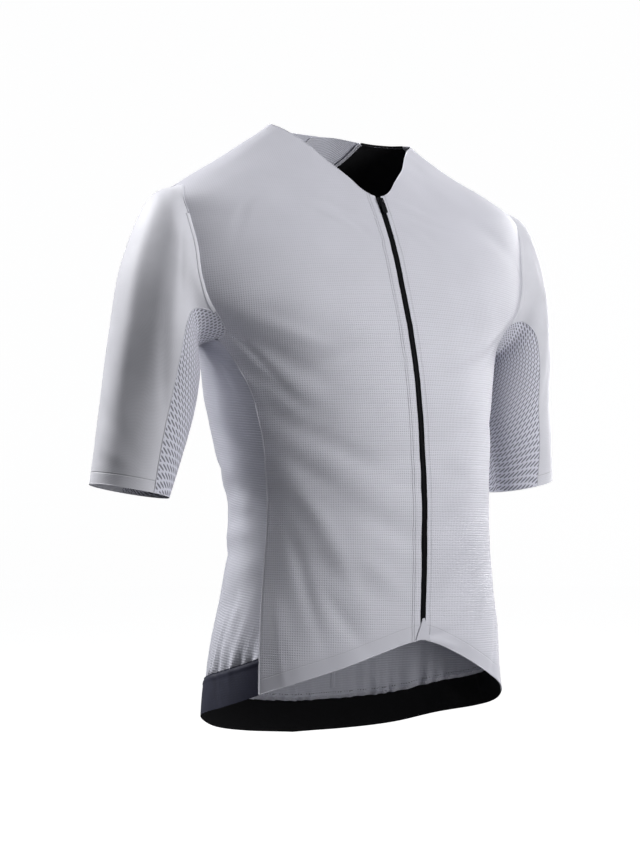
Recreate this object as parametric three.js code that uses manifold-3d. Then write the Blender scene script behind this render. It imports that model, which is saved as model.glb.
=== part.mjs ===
// Short-sleeved cycling jersey, worn and hollow, full front zip, dropped back hem.
// Millimetres, +Z up. The front faces -Y and the wearer's left is +X.
// The origin lies on the centre plane, level with the side neck points.
import * as THREE from "three";
import { mergeVertices } from "three/addons/utils/BufferGeometryUtils.js";
import Module from "manifold-3d";

const wasm = await Module();
wasm.setup();

// Cloth and seams
const CLOTH = 1.2;
const SEAM_DRAW = 0.24;
const LAYER_GAP = 0.3;
const FRONT_COLUMNS = 13;
const BACK_COLUMNS = 12;
const SLEEVE_ROWS = 12;

// Body sections, level cuts through the worn garment. Each side of a cut is a
// rounded oval: its depth runs from sideY to frontY or backY, and the powers
// say how square it is.
const BODY_COLUMNS = ["z", "halfWidth", "sideY", "frontY", "backY", "frontPower", "backPower"];
const BODY = table(BODY_COLUMNS, [
  [-720, 192, -4, -131, 122, 2.15, 2.1],
  [-650, 189, -5, -131, 119, 2.15, 2.1],
  [-590, 180, -8, -132, 114, 2.15, 2.1],
  [-530, 169, -14, -134, 106, 2.15, 2.1],
  [-475, 161, -16, -136, 103, 2.15, 2.1],
  [-425, 160, -10, -136, 110, 2.15, 2.1],
  [-375, 167, -2, -133, 119, 2.15, 2.1],
  [-325, 176, 6, -128, 125, 2.15, 2.1],
  [-285, 184, 9, -122, 127, 2.15, 2.1],
  [-252, 195, 11, -115, 126, 2.15, 2.15],
  [-228, 213, 12, -109, 126, 2.15, 2.15],
  [-205, 235, 12, -102, 125, 2.15, 2.2],
  [-180, 247, 13, -94, 124, 2.15, 2.2],
  [-147, 250, 13, -83, 122, 2.2, 2.2],
  [-115, 250, 14, -69, 117, 2.3, 2.2],
  [-90, 242, 15, -56, 110, 2.4, 2.2],
  [-65, 207, 16, -42, 100, 2.2, 2.2],
  [-40, 165, 16, -27, 88, 1.9, 2.1],
  [-20, 133, 17, -14, 78, 1.7, 2],
  [0, 101, 19, 0, 69, 1.6, 2],
  [12, 88, 20, 6, 63, 1.6, 2],
]);

// Seam lines on the body. An angle is measured round a cut from the front
// centre, 90 at the side and 180 at the back centre.
const NECK = table(["angle", "z"], [
  [0, -80], [1.4, -78], [7.7, -61], [21.4, -38], [35.5, -20], [51, -8], [70, -1], [90, 2],
  [115, 3], [145, 2], [180, 1],
]);
const HEM = table(["angle", "z"], [
  [0, -575], [3, -577], [18, -593], [29, -606], [47, -624], [65, -641], [75, -650], [90, -661],
  [119, -677], [140, -692], [160, -700], [180, -704],
]);
const SIDE_SEAM = table(["z", "angle"], [
  [-660, 63], [-593, 67], [-529, 71.5], [-486, 73.5], [-420, 71.5], [-344, 67.5], [-295, 69],
  [-268, 72], [-244, 75],
]);
const BAND_HEIGHT = 42;
const SIDE_SEAM_STEPS = 11;
const BAND_STEPS = 3;
const SHOULDER_STEPS = 6;

// Armhole, a rounded oval on the body. A turn of 0 is its top, 90 its front,
// 180 its bottom, which sits a little forward where the side seam ends, and 270
// its back.
const ARMHOLE = { top: -76, bottom: -244, front: 25.5, back: 24, forward: 13, power: 2.5 };
const SHOULDER_TURN = -30;
const GUSSET_FRONT_TURN = 128;
const SIDE_TURN = 180;
const GUSSET_BACK_TURN = 222;
const TURN_STEPS = { front: 10, gussetFront: 4, gussetBack: 4, back: 8 };
// Rows of cloth below the armhole rise towards it from this much lower. Above it
// they are spread partly by height and partly by count.
const ROW_RISE = 18;
const ROWS_BY_HEIGHT = 0.4;

// The underarm gusset widens down the sleeve: turns of its two seams.
const GUSSET = table(["along", "front", "back"], [
  [0, 128, 222], [0.1, 123, 228], [0.35, 101, 246], [0.65, 88, 256], [0.8, 88, 256], [1, 97, 250],
]);
const GUSSET_MIDDLE_TURN = 166;

// Sleeve rings below the armhole. dip is the angle of the sleeve's run below
// level, reach its radius towards the outside, deep its radius front to back and
// bow how far its front and back stand out from the ring's plane.
const RING_COLUMNS = ["along", "x", "y", "z", "dip", "reach", "deep", "bow"];
const RINGS = table(RING_COLUMNS, [
  [0.16, 232, 13, -174, 17, 86, 50, 13],
  [0.32, 246, 15, -214, 34, 69, 54, 8],
  [0.5, 252, 18, -262, 57, 56, 55, 3],
  [0.67, 257, 24, -312, 72, 52, 52, 0],
  [0.84, 266, 28, -362, 77, 48, 49, 0],
  [1, 276, 32, -411, 79, 44, 44, 0],
]);

// Largest folds of the cloth: soft ridges (+) and troughs (-) along a line.
// tilt turns the line from level, up towards the sleeve.
const FOLD_COLUMNS = ["angle", "z", "length", "width", "depth", "tilt"];
const FOLDS = table(FOLD_COLUMNS, [
  [52, -262, 120, 24, -3, 32],
  [44, -236, 90, 22, 2, 28],
  [58, -330, 90, 26, -2, 38],
  [24, -440, 120, 26, -1.6, 14],
  [36, -505, 110, 24, -1.8, 24],
  [60, -560, 90, 20, 1.6, 60],
  [104, -420, 110, 22, -2.2, -12],
  [112, -470, 120, 22, 1.8, -8],
  [128, -300, 120, 26, -2.2, -26],
  [150, -440, 130, 24, -2, -8],
  [168, -250, 100, 30, 1.6, 70],
  [40, -120, 80, 22, -1.6, -36],
]);

// How the worn garment hangs: its left neck and its left hem sit a little lower.
const NECK_LEAN = 10;
const HEM_LEAN = 0.055;

// Zip
const ZIP = { opening: 8, tape: 27, tapeThick: 0.7, behind: 0.55, top: -84.5, bottom: -568 };
const RIB = { width: 6.8, height: 1.7, crown: 1.87, shoulder: 1.02, flat: 3.74 };
const ZIP_STEPS = 24;
const SLIDER = { z: -87.5, face: 1.3, width: 7.6, length: 11.5, plate: 1.1, post: 1.8, nose: 0.8 };
const BAIL = { width: 2, height: 3.1, length: 6.4, wall: 0.9, sink: 0.3, hole: 0.95, arcs: 10 };
const PIN = { radius: 0.55, run: 0.6, share: 0.52, into: 0.3, sides: 8 };
const PULL = { width: 5.4, length: 16.5, thick: 1.2, arm: 1.3, slot: 4, neck: 5, head: 0.9, corner: 1.4 };
const GARAGE = { top: -551, halfWidth: 10, point: 1.2, thick: 0.8, above: 0.5, rows: 4 };

// Back pockets, one panel stitched into three
const POCKETS = {
  from: 132, top: -498, sideDrop: 10, aboveBand: 3, lift: 0.9, columns: 20, rows: 8,
};

// Inside the back neck: both edges lean towards the wearer's right as they go down
const FACING = {
  from: 102, to: 145, depth: 58, thick: 0.7, columns: 12, rows: 8, below: 1.2,
  leanFrom: 0, leanTo: 38,
};
const NECK_TAPE = {
  from: 181.5, to: 186, depth: 26, thick: 0.6, columns: 1, rows: 4, below: 0.3,
  leanFrom: 10, leanTo: 10,
};
const LEAN_POWER = 0.8;
const NECK_SET = 1;

// Colours and finishes from the photo
const CLOTH_FRONT = { color: 0xc9c9d3, roughness: 0.62, metalness: 0 };
const CLOTH_BACK = { color: 0xc3c5d2, roughness: 0.66, metalness: 0 };
const CLOTH_SLEEVE = { color: 0xcfcfd8, roughness: 0.45, metalness: 0 };
const MESH_KNIT = { color: 0xb9bccb, roughness: 0.7, metalness: 0 };
const NAVY = { color: 0x2c2d40, roughness: 0.6, metalness: 0 };
const BLACK_TAPE = { color: 0x101013, roughness: 0.55, metalness: 0 };
const BLACK_METAL = { color: 0x1b1c20, roughness: 0.35, metalness: 0.7 };
const PALE_TAPE = { color: 0xb4b4bf, roughness: 0.6, metalness: 0 };

// A table keeps its rows in the order of its first column.
function table(columns, rows) {
  const sorted = [...rows].sort((a, b) => a[0] - b[0]);
  return { columns, rows: sorted };
}

// Smooth cubic through a table's rows, one value for each later column.
function curve(tab, at) {
  const rows = tab.rows;
  const last = rows.length - 1;
  const x = Math.min(Math.max(at, rows[0][0]), rows[last][0]);
  let i = 0;
  while (i < last - 1 && x > rows[i + 1][0]) i += 1;
  const h = rows[i + 1][0] - rows[i][0];
  const t = (x - rows[i][0]) / h;
  const result = {};
  tab.columns.slice(1).forEach((name, k) => {
    const slope = (j) => (rows[j + 1][k + 1] - rows[j][k + 1]) / (rows[j + 1][0] - rows[j][0]);
    const span = (j) => rows[j + 1][0] - rows[j][0];
    const tangent = (j) => {
      if (j === 0) return slope(0);
      if (j === last) return slope(last - 1);
      return (slope(j - 1) * span(j) + slope(j) * span(j - 1)) / (span(j) + span(j - 1));
    };
    const a = rows[i][k + 1];
    const b = rows[i + 1][k + 1];
    const t2 = t * t;
    const t3 = t2 * t;
    result[name] = (2 * t3 - 3 * t2 + 1) * a + (t3 - 2 * t2 + t) * h * tangent(i)
      + (3 * t2 - 2 * t3) * b + (t3 - t2) * h * tangent(i + 1);
  });
  return result;
}

const radians = THREE.MathUtils.degToRad;
const smooth = THREE.MathUtils.smoothstep;
const signedPower = (value, power) => Math.sign(value) * Math.abs(value) ** power;

// The body before folds and lean. The angle is negative on the wearer's right.
function plainBody(angle, z) {
  const cut = curve(BODY, z);
  const c = Math.cos(radians(angle));
  const s = Math.sin(radians(angle));
  const power = 2 / (c > 0 ? cut.frontPower : cut.backPower);
  const depth = c > 0 ? cut.sideY - cut.frontY : cut.backY - cut.sideY;
  const x = cut.halfWidth * signedPower(s, power);
  return new THREE.Vector3(x, cut.sideY - depth * signedPower(c, power), z);
}

// How far the folds lift the cloth at a place on the body.
function foldLift(angle, z) {
  const round = Math.abs(angle) > 180 ? 360 - Math.abs(angle) : Math.abs(angle);
  const millimetresPerDegree = 2.7;
  return FOLDS.rows.reduce((sum, row) => {
    const [foldAngle, foldZ, length, width, depth, tilt] = row;
    const across = (round - foldAngle) * millimetresPerDegree;
    const up = z - foldZ;
    const c = Math.cos(radians(tilt));
    const s = Math.sin(radians(tilt));
    const along = (across * c + up * s) / (length / 2);
    const off = (up * c - across * s) / (width / 2);
    return sum + depth * Math.exp(-along * along - off * off);
  }, 0);
}

// Outward direction of a surface given by a point function of two values.
function outward(point, u, v, stepU, stepV) {
  const du = point(u + stepU, v).sub(point(u - stepU, v));
  const dv = point(u, v + stepV).sub(point(u, v - stepV));
  return du.cross(dv).normalize();
}

function lean(p) {
  const hem = 1 - smooth(p.z, -560, -330);
  const neck = smooth(p.x, 15, 95) * (1 - smooth(p.x, 120, 235)) * smooth(p.z, -160, -30);
  return new THREE.Vector3(p.x, p.y, p.z - HEM_LEAN * p.x * hem - NECK_LEAN * neck);
}

function body(angle, z) {
  const normal = outward(plainBody, angle, z, 0.5, 1.5);
  return lean(plainBody(angle, z).addScaledVector(normal, foldLift(angle, z)));
}

const bodyNormal = (angle, z) => outward(body, angle, z, 0.4, 1.2);

// A place on the armhole at a turn, as an angle and a height on the body.
function armhole(turn) {
  const c = Math.cos(radians(turn));
  const s = Math.sin(radians(turn));
  const power = 2 / ARMHOLE.power;
  const middle = (ARMHOLE.top + ARMHOLE.bottom) / 2;
  const half = (ARMHOLE.top - ARMHOLE.bottom) / 2;
  const forward = ARMHOLE.forward * smooth(-c, 0, 1);
  const reach = s > 0 ? ARMHOLE.front - forward : ARMHOLE.back + forward;
  const angle = 90 - forward - reach * signedPower(s, power);
  return { angle, z: middle + half * signedPower(c, power) };
}

// The turn on a sleeve ring that a turn of the armhole leads to.
function ringTurn(turn, along) {
  const { front: frontSeam, back: backSeam } = curve(GUSSET, along);
  const round = turn > 360 + SHOULDER_TURN ? turn - 360 : turn;
  const knots = [
    [SHOULDER_TURN, SHOULDER_TURN], [GUSSET_FRONT_TURN, frontSeam], [SIDE_TURN, GUSSET_MIDDLE_TURN],
    [GUSSET_BACK_TURN, backSeam], [360 + SHOULDER_TURN, 360 + SHOULDER_TURN],
  ];
  const above = knots.findIndex(([at], i) => i > 0 && round <= at);
  const [a, b] = [knots[above - 1], knots[above]];
  return a[1] + ((b[1] - a[1]) * (round - a[0])) / (b[0] - a[0]);
}

// The sleeve runs by smooth curves from the armhole through the rings.
function sleeve(side, turn, along) {
  const edge = armhole(turn);
  const start = body(side * edge.angle, edge.z);
  const rows = RINGS.rows.map(([at, x, y, z, dip, reach, deep, bow]) => {
    const c = Math.cos(radians(ringTurn(turn, at)));
    const s = Math.sin(radians(ringTurn(turn, at)));
    const out = reach * c * Math.sin(radians(dip)) + bow * s * s;
    const up = reach * c * Math.cos(radians(dip));
    return [at, side * (x + out), y - deep * s, z + up];
  });
  const run = { columns: ["along", "x", "y", "z"], rows: [[0, start.x, start.y, start.z], ...rows] };
  const p = curve(run, along);
  return new THREE.Vector3(p.x, p.y, p.z);
}

function sleeveNormal(side, turn, along) {
  const at = Math.min(Math.max(along, 0.01), 0.99);
  const point = (u, v) => sleeve(side, u, v);
  return outward(point, turn, at, 1, 0.008).multiplyScalar(side);
}

// Both sides of the armhole seam share one direction, so their edges are parallel.
function armholeNormal(side, turn) {
  const edge = armhole(turn);
  const onBody = bodyNormal(side * edge.angle, edge.z);
  return onBody.add(sleeveNormal(side, turn, 0)).normalize();
}

// Evenly stepped values from a to b, both ends included.
const steps = (a, b, count) => Array.from({ length: count + 1 }, (_, i) => a + ((b - a) * i) / count);

const blend = (a, b, t) => a + (b - a) * t;

// Turns of the armhole where cloth pieces have their corners in common.
const FRONT_TURNS = steps(GUSSET_FRONT_TURN, SHOULDER_TURN, TURN_STEPS.front);
const GUSSET_FRONT_TURNS = steps(SIDE_TURN, GUSSET_FRONT_TURN, TURN_STEPS.gussetFront);
const GUSSET_BACK_TURNS = steps(SIDE_TURN, GUSSET_BACK_TURN, TURN_STEPS.gussetBack);
const BACK_TURNS = steps(GUSSET_BACK_TURN, 360 + SHOULDER_TURN, TURN_STEPS.back);

const hemZ = (angle) => curve(HEM, angle).z;
const neckZ = (angle) => curve(NECK, angle).z;
const bandTopZ = (angle) => hemZ(angle) + BAND_HEIGHT;

const SIDE_TOP = armhole(SIDE_TURN);
const SHOULDER_END = armhole(SHOULDER_TURN);
const SHOULDER_NECK_ANGLE = 112;
const HEM_CORNER_ANGLE = 64.2;
// Columns of the front crowd towards the centre at the curve of the neck.
const NECK_CROWD = 1.25;

// The side seam from the hem corner up to the armhole, which it meets exactly.
function sideSeam(z) {
  const angle = curve(SIDE_SEAM, z).angle;
  const top = smooth(z, -300, SIDE_TOP.z);
  const bottom = 1 - smooth(z, hemZ(HEM_CORNER_ANGLE), -560);
  const toTop = SIDE_TOP.angle - curve(SIDE_SEAM, SIDE_TOP.z).angle;
  const toCorner = HEM_CORNER_ANGLE - curve(SIDE_SEAM, hemZ(HEM_CORNER_ANGLE)).angle;
  return { angle: angle + toTop * top + toCorner * bottom, z };
}

const HEM_CORNER_Z = hemZ(HEM_CORNER_ANGLE);
const BAND_CORNER_Z = HEM_CORNER_Z + BAND_HEIGHT;
const BAND_SIDE = steps(HEM_CORNER_Z, BAND_CORNER_Z, BAND_STEPS).map(sideSeam);
const PANEL_SIDE = steps(BAND_CORNER_Z, SIDE_TOP.z, SIDE_SEAM_STEPS).map(sideSeam);
const SHOULDER = steps(0, 1, SHOULDER_STEPS).map((t) => ({
  angle: blend(SHOULDER_END.angle, SHOULDER_NECK_ANGLE, t),
  z: blend(SHOULDER_END.z, neckZ(SHOULDER_NECK_ANGLE), t),
}));

// Outer edge of the front: side seam, front of the armhole, then the shoulder seam.
function frontEdge() {
  const turns = [...GUSSET_FRONT_TURNS, ...FRONT_TURNS.slice(1)];
  const arm = turns.map((turn) => ({ ...armhole(turn), turn }));
  return [...BAND_SIDE, ...PANEL_SIDE.slice(1, -1), ...arm, ...SHOULDER.slice(1)];
}

// Outer edge of the back: side seam, back of the armhole, then the shoulder seam.
function backEdge() {
  const turns = [...GUSSET_BACK_TURNS, ...BACK_TURNS.slice(1)];
  const arm = turns.map((turn) => ({ ...armhole(turn), turn }));
  return [...PANEL_SIDE.slice(0, -1), ...arm, ...SHOULDER.slice(1)];
}

// Grid of places between a straight inner edge and a shaped outer edge, with a
// shaped bottom and top. Each row leads from the inner edge to the outer one.
function patch(inner, outer, bottom, top, columns) {
  const last = outer.length - 1;
  return outer.map((edge, i) => {
    const v = i / last;
    return steps(0, 1, columns).map((u, j) => {
      if (j === columns) return edge;
      const at = (name) => blend(inner[i][name], edge[name], u)
        + (1 - v) ** 2 * (bottom(u)[name] - blend(inner[0][name], outer[0][name], u))
        + v * v * (top(u)[name] - blend(inner[last][name], outer[last][name], u));
      return { angle: at("angle"), z: at("z") };
    });
  });
}

// Heights on the centre line that go with the rows of an outer edge.
function centreRows(edge, angle, bottom, top) {
  const low = edge[0].z;
  const high = Math.max(...edge.map((place) => place.z));
  const corner = edge.findIndex((place) => "turn" in place);
  const above = edge.length - 1 - corner;
  return edge.map((place, i) => {
    const middle = SIDE_TOP.z - ROW_RISE;
    const below = (place.z - low) / (SIDE_TOP.z - low);
    if (i <= corner) return { angle, z: blend(bottom, middle, below) };
    const byHeight = (place.z - SIDE_TOP.z) / (high - SIDE_TOP.z);
    const byCount = (i - corner) / above;
    return { angle, z: blend(middle, top, blend(byCount, byHeight, ROWS_BY_HEIGHT)) };
  });
}

// A grid of points and directions becomes a closed wall of cloth.
function wall(grid, thick) {
  const rows = grid.length;
  const columns = grid[0].length;
  const positions = [];
  const push = (p) => positions.push(p.x, p.y, p.z);
  grid.flat().forEach((node) => push(node.p));
  grid.flat().forEach((node) => push(node.p.clone().addScaledVector(node.n, -thick)));
  const outer = (i, j) => i * columns + j;
  const inner = (i, j) => rows * columns + i * columns + j;
  const index = [];
  const quad = (a, b, c, d) => index.push(a, b, c, a, c, d);
  for (let i = 0; i < rows - 1; i += 1) {
    for (let j = 0; j < columns - 1; j += 1) {
      quad(outer(i, j), outer(i, j + 1), outer(i + 1, j + 1), outer(i + 1, j));
      quad(inner(i, j), inner(i + 1, j), inner(i + 1, j + 1), inner(i, j + 1));
    }
  }
  for (let j = 0; j < columns - 1; j += 1) {
    quad(outer(0, j + 1), outer(0, j), inner(0, j), inner(0, j + 1));
    quad(outer(rows - 1, j), outer(rows - 1, j + 1), inner(rows - 1, j + 1), inner(rows - 1, j));
  }
  for (let i = 0; i < rows - 1; i += 1) {
    quad(outer(i, 0), outer(i + 1, 0), inner(i + 1, 0), inner(i, 0));
    const end = columns - 1;
    quad(outer(i + 1, end), outer(i, end), inner(i, end), inner(i + 1, end));
  }
  const geometry = new THREE.BufferGeometry();
  geometry.setAttribute("position", new THREE.Float32BufferAttribute(positions, 3));
  geometry.setIndex(index);
  return facingOut(geometry);
}

// Turns the faces over where the closed body would have a negative volume.
function facingOut(geometry) {
  const position = geometry.getAttribute("position");
  const index = geometry.getIndex().array;
  const corner = (i) => new THREE.Vector3().fromBufferAttribute(position, index[i]);
  let volume = 0;
  for (let i = 0; i < index.length; i += 3) {
    volume += corner(i).dot(corner(i + 1).cross(corner(i + 2)));
  }
  if (volume < 0) {
    for (let i = 0; i < index.length; i += 3) {
      [index[i + 1], index[i + 2]] = [index[i + 2], index[i + 1]];
    }
  }
  geometry.computeVertexNormals();
  return geometry;
}

// Draws the edges of a grid in by half a seam gap, square to each edge, so that
// neighbours stay apart.
function drawIn(grid) {
  const rows = grid.length - 1;
  const columns = grid[0].length - 1;
  const moved = grid.map((row) => row.map((node) => ({ p: node.p.clone(), n: node.n })));
  const draw = (i, j, before, after, inside) => {
    const node = grid[i][j];
    const square = node.n.clone().cross(after.p.clone().sub(before.p)).normalize();
    const inward = Math.sign(square.dot(inside.p.clone().sub(node.p)));
    moved[i][j].p.addScaledVector(square, inward * SEAM_DRAW);
  };
  const clampRow = (i) => Math.min(Math.max(i, 0), rows);
  const clampColumn = (j) => Math.min(Math.max(j, 0), columns);
  for (let i = 0; i <= rows; i += 1) {
    [[0, 1], [columns, columns - 1]].forEach(([j, near]) => (
      draw(i, j, grid[clampRow(i - 1)][j], grid[clampRow(i + 1)][j], grid[i][near])));
  }
  for (let j = 0; j <= columns; j += 1) {
    [[0, 1], [rows, rows - 1]].forEach(([i, near]) => (
      draw(i, j, grid[i][clampColumn(j - 1)], grid[i][clampColumn(j + 1)], grid[near][j])));
  }
  return moved;
}

// Turns places on one side of the body into points and directions.
function onBody(places, side) {
  return places.map((row) => row.map((place) => {
    const angle = side * place.angle;
    const n = "turn" in place ? armholeNormal(side, place.turn) : bodyNormal(angle, place.z);
    return { p: body(angle, place.z), n };
  }));
}

// Lifts a grid off the cloth below it, outward or inward.
const lifted = (grid, by) => grid.map((row) => row.map((node) => (
  { p: node.p.clone().addScaledVector(node.n, by), n: node.n })));

function piece(name, geometry, finish) {
  const mesh = new THREE.Mesh(geometry, new THREE.MeshStandardMaterial(finish));
  mesh.name = name;
  return mesh;
}

// The angle at which the body is a given distance from the centre line in front.
function frontAngle(x, z) {
  const cut = curve(BODY, z);
  return THREE.MathUtils.radToDeg(Math.asin((x / cut.halfWidth) ** (cut.frontPower / 2)));
}

function front(side) {
  const outer = frontEdge();
  const inner = centreRows(outer, 0, hemZ(0), neckZ(0)).map((place) => (
    { angle: frontAngle(ZIP.opening / 2, place.z), z: place.z }));
  const bottom = (u) => {
    const angle = blend(inner[0].angle, HEM_CORNER_ANGLE, u);
    return { angle, z: hemZ(angle) };
  };
  const top = (u) => {
    const angle = blend(inner[inner.length - 1].angle, SHOULDER_NECK_ANGLE, u ** NECK_CROWD);
    return { angle, z: neckZ(angle) };
  };
  const places = patch(inner, outer, bottom, top, FRONT_COLUMNS);
  return wall(drawIn(onBody(places, side)), CLOTH);
}

function back() {
  const outer = backEdge();
  const inner = centreRows(outer, 180, bandTopZ(180), neckZ(180));
  const corner = PANEL_SIDE[0].angle;
  const bottom = (u) => {
    const angle = blend(180, corner, u);
    return { angle, z: bandTopZ(angle) };
  };
  const top = (u) => {
    const angle = blend(180, SHOULDER_NECK_ANGLE, u);
    return { angle, z: neckZ(angle) };
  };
  const places = patch(inner, outer, bottom, top, BACK_COLUMNS);
  const left = onBody(places, 1);
  const right = onBody(places, -1).map((row) => row.slice(1).reverse());
  return wall(drawIn(left.map((row, i) => [...right[i], ...row])), CLOTH);
}

function hemBand() {
  const columns = 2 * BACK_COLUMNS;
  const rows = BAND_SIDE.map((side, i) => steps(-1, 1, columns).map((u, j) => {
    const atSide = j === 0 || j === columns;
    const angle = 180 - Math.abs(u) * (180 - side.angle);
    const z = atSide ? side.z : hemZ(angle) + (BAND_HEIGHT * i) / BAND_STEPS;
    return { angle: u < 0 ? -angle : angle, z };
  }));
  return wall(drawIn(onBody(rows, 1)), CLOTH);
}

function sleevePatch(side, turns) {
  const rows = turns.map((turn) => steps(0, 1, SLEEVE_ROWS).map((along, i) => {
    const n = i === 0 ? armholeNormal(side, turn) : sleeveNormal(side, turn, along);
    return { p: sleeve(side, turn, along), n };
  }));
  return wall(drawIn(rows), CLOTH);
}

const SLEEVE_TURNS = [...BACK_TURNS, ...[...FRONT_TURNS].reverse().slice(1).map((turn) => turn + 360)];
const UNDERARM_TURNS = [...[...GUSSET_FRONT_TURNS].reverse(), ...GUSSET_BACK_TURNS.slice(1)];

function pocketRow() {
  const { from, top, sideDrop, aboveBand, lift, columns, rows } = POCKETS;
  const grid = steps(0, 1, rows).map((v) => steps(-1, 1, columns).map((u) => {
    const angle = 180 - Math.abs(u) * (180 - from);
    const high = top - sideDrop * u * u;
    const low = bandTopZ(angle) + aboveBand;
    return { angle: u < 0 ? -angle : angle, z: blend(low, high, v) };
  }));
  return wall(lifted(onBody(grid, 1), CLOTH + lift), CLOTH);
}

// Inside the neck: a patch between two angles, from the neck edge downward.
function insideNeck({ from, to, depth, thick, columns, rows, below, leanFrom, leanTo }) {
  const grid = steps(0, 1, rows).map((v) => steps(from, to, columns).map((angle, j) => {
    const lean = blend(leanFrom, leanTo, j / columns) * v ** LEAN_POWER;
    return { angle: angle + lean, z: neckZ(angle) - NECK_SET - depth * v };
  }));
  return wall(lifted(onBody(grid, 1), -CLOTH - below), thick);
}

// A strip along the front centre, its section drawn as offsets across and outward.
function centreStrip(section, from, to, count) {
  const positions = [];
  const rings = steps(from, to, count).map((z) => {
    const middle = body(0, z);
    const n = bodyNormal(0, z);
    return section.map(([across, out]) => {
      const angle = Math.sign(across) * frontAngle(Math.abs(across), z);
      const p = body(angle, z);
      p.x = across;
      return p.addScaledVector(n, out).setZ(middle.z + n.z * out);
    });
  });
  rings.flat().forEach((p) => positions.push(p.x, p.y, p.z));
  const around = section.length;
  const index = [];
  for (let i = 0; i < count; i += 1) {
    for (let j = 0; j < around; j += 1) {
      const a = i * around + j;
      const b = i * around + ((j + 1) % around);
      index.push(a, b, b + around, a, b + around, a + around);
    }
  }
  const outline = section.map(([across, out]) => new THREE.Vector2(across, out));
  const caps = THREE.ShapeUtils.triangulateShape(outline, []);
  const shift = count * around;
  caps.forEach(([a, b, c]) => index.push(a, c, b, a + shift, b + shift, c + shift));
  const geometry = new THREE.BufferGeometry();
  geometry.setAttribute("position", new THREE.Float32BufferAttribute(positions, 3));
  geometry.setIndex(index);
  return facingOut(geometry);
}

// The zip: a tape behind both fronts and the rib of its coil between them.
function zip() {
  const face = -CLOTH - ZIP.behind;
  const rear = face - ZIP.tapeThick;
  const half = ZIP.tape / 2;
  const rib = RIB.width / 2;
  const flat = RIB.flat / 2;
  const section = [
    [-half, rear], [0, rear], [half, rear], [half, face], [rib, face], [rib, face + RIB.shoulder],
    [flat, face + RIB.height], [0, face + RIB.crown], [-flat, face + RIB.height],
    [-rib, face + RIB.shoulder], [-rib, face], [-half, face],
  ];
  return centreStrip(section, ZIP.bottom, ZIP.top, ZIP_STEPS);
}

// The folded cloth tab that covers the lower end of the zip.
function garage() {
  const { top, halfWidth, point, thick, above, rows } = GARAGE;
  const grid = steps(0, 1, rows).map((v) => steps(-1, 1, rows).map((u) => {
    const z = blend(hemZ(0), top, v);
    const x = u * blend(halfWidth, point, v);
    const angle = Math.sign(x) * frontAngle(Math.abs(x), z);
    return { p: body(angle, z), n: bodyNormal(0, z) };
  }));
  return wall(lifted(grid, thick + LAYER_GAP + above), thick);
}

function asManifold(geometry) {
  const bare = geometry.clone();
  bare.deleteAttribute("normal");
  bare.deleteAttribute("uv");
  const merged = mergeVertices(bare, 1e-4);
  return new wasm.Manifold(new wasm.Mesh({
    numProp: 3,
    vertProperties: new Float32Array(merged.getAttribute("position").array),
    triVerts: new Uint32Array(merged.getIndex().array),
  }));
}

function joined(geometries) {
  const solid = geometries.map(asManifold).reduce((a, b) => a.add(b));
  const mesh = solid.getMesh();
  const geometry = new THREE.BufferGeometry();
  geometry.setAttribute("position", new THREE.BufferAttribute(new Float32Array(mesh.vertProperties), 3));
  geometry.setIndex(new THREE.BufferAttribute(new Uint32Array(mesh.triVerts), 1));
  geometry.computeVertexNormals();
  return geometry;
}

// A side-view outline, given as run along the zip and rise off it, pushed out in width.
function sideways(outline, width, holes = []) {
  const toShape = (points) => points.map(([run, rise]) => new THREE.Vector2(run, rise));
  const shape = new THREE.Shape(toShape(outline));
  holes.forEach((hole) => shape.holes.push(new THREE.Path(toShape(hole))));
  const geometry = new THREE.ExtrudeGeometry(shape, { depth: width, bevelEnabled: false });
  geometry.translate(0, 0, -width / 2);
  // The outline's run becomes up (+Z), its rise forward (-Y) and its width X.
  const up = new THREE.Vector3(0, 0, 1);
  const forward = new THREE.Vector3(0, -1, 0);
  const across = new THREE.Vector3(1, 0, 0);
  return geometry.applyMatrix4(new THREE.Matrix4().makeBasis(up, forward, across));
}

// Points of an ellipse's upper half or a whole circle, for short outlines.
const arc = (cx, cy, rx, ry, from, to, count) => steps(from, to, count).map((turn) => (
  [cx + rx * Math.cos(radians(turn)), cy + ry * Math.sin(radians(turn))]));

// The slider: front plate, post above the coil and back plate behind the tape,
// with a bail on the front that holds the pull.
const BAIL_BASE = SLIDER.face + SLIDER.plate;
const PIN_RISE = BAIL_BASE + (BAIL.height - BAIL.wall) * PIN.share;

function slider() {
  const { length, width, plate, post, face, nose } = SLIDER;
  const low = -length / 2;
  const high = length / 2;
  const behind = -CLOTH - ZIP.behind - ZIP.tapeThick - LAYER_GAP;
  const chamfer = nose / 2;
  const clamp = [
    [low, face], [low, BAIL_BASE - chamfer], [low + nose, BAIL_BASE], [high - nose, BAIL_BASE],
    [high, BAIL_BASE - chamfer], [high, behind - plate], [low + chamfer, behind - plate],
    [low, behind - plate + chamfer], [low, behind], [high - post, behind], [high - post, face],
  ];
  const foot = BAIL_BASE - BAIL.sink;
  const half = BAIL.length / 2;
  const outer = arc(PIN.run, foot, half, BAIL.height + BAIL.sink, 180, 0, BAIL.arcs);
  const turn = 360 / BAIL.arcs;
  const hole = arc(PIN.run, PIN_RISE, half - BAIL.wall, BAIL.hole, 0, 360 - turn, BAIL.arcs - 1);
  return joined([sideways(clamp, width), sideways(outer, BAIL.width, [hole])]);
}

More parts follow.
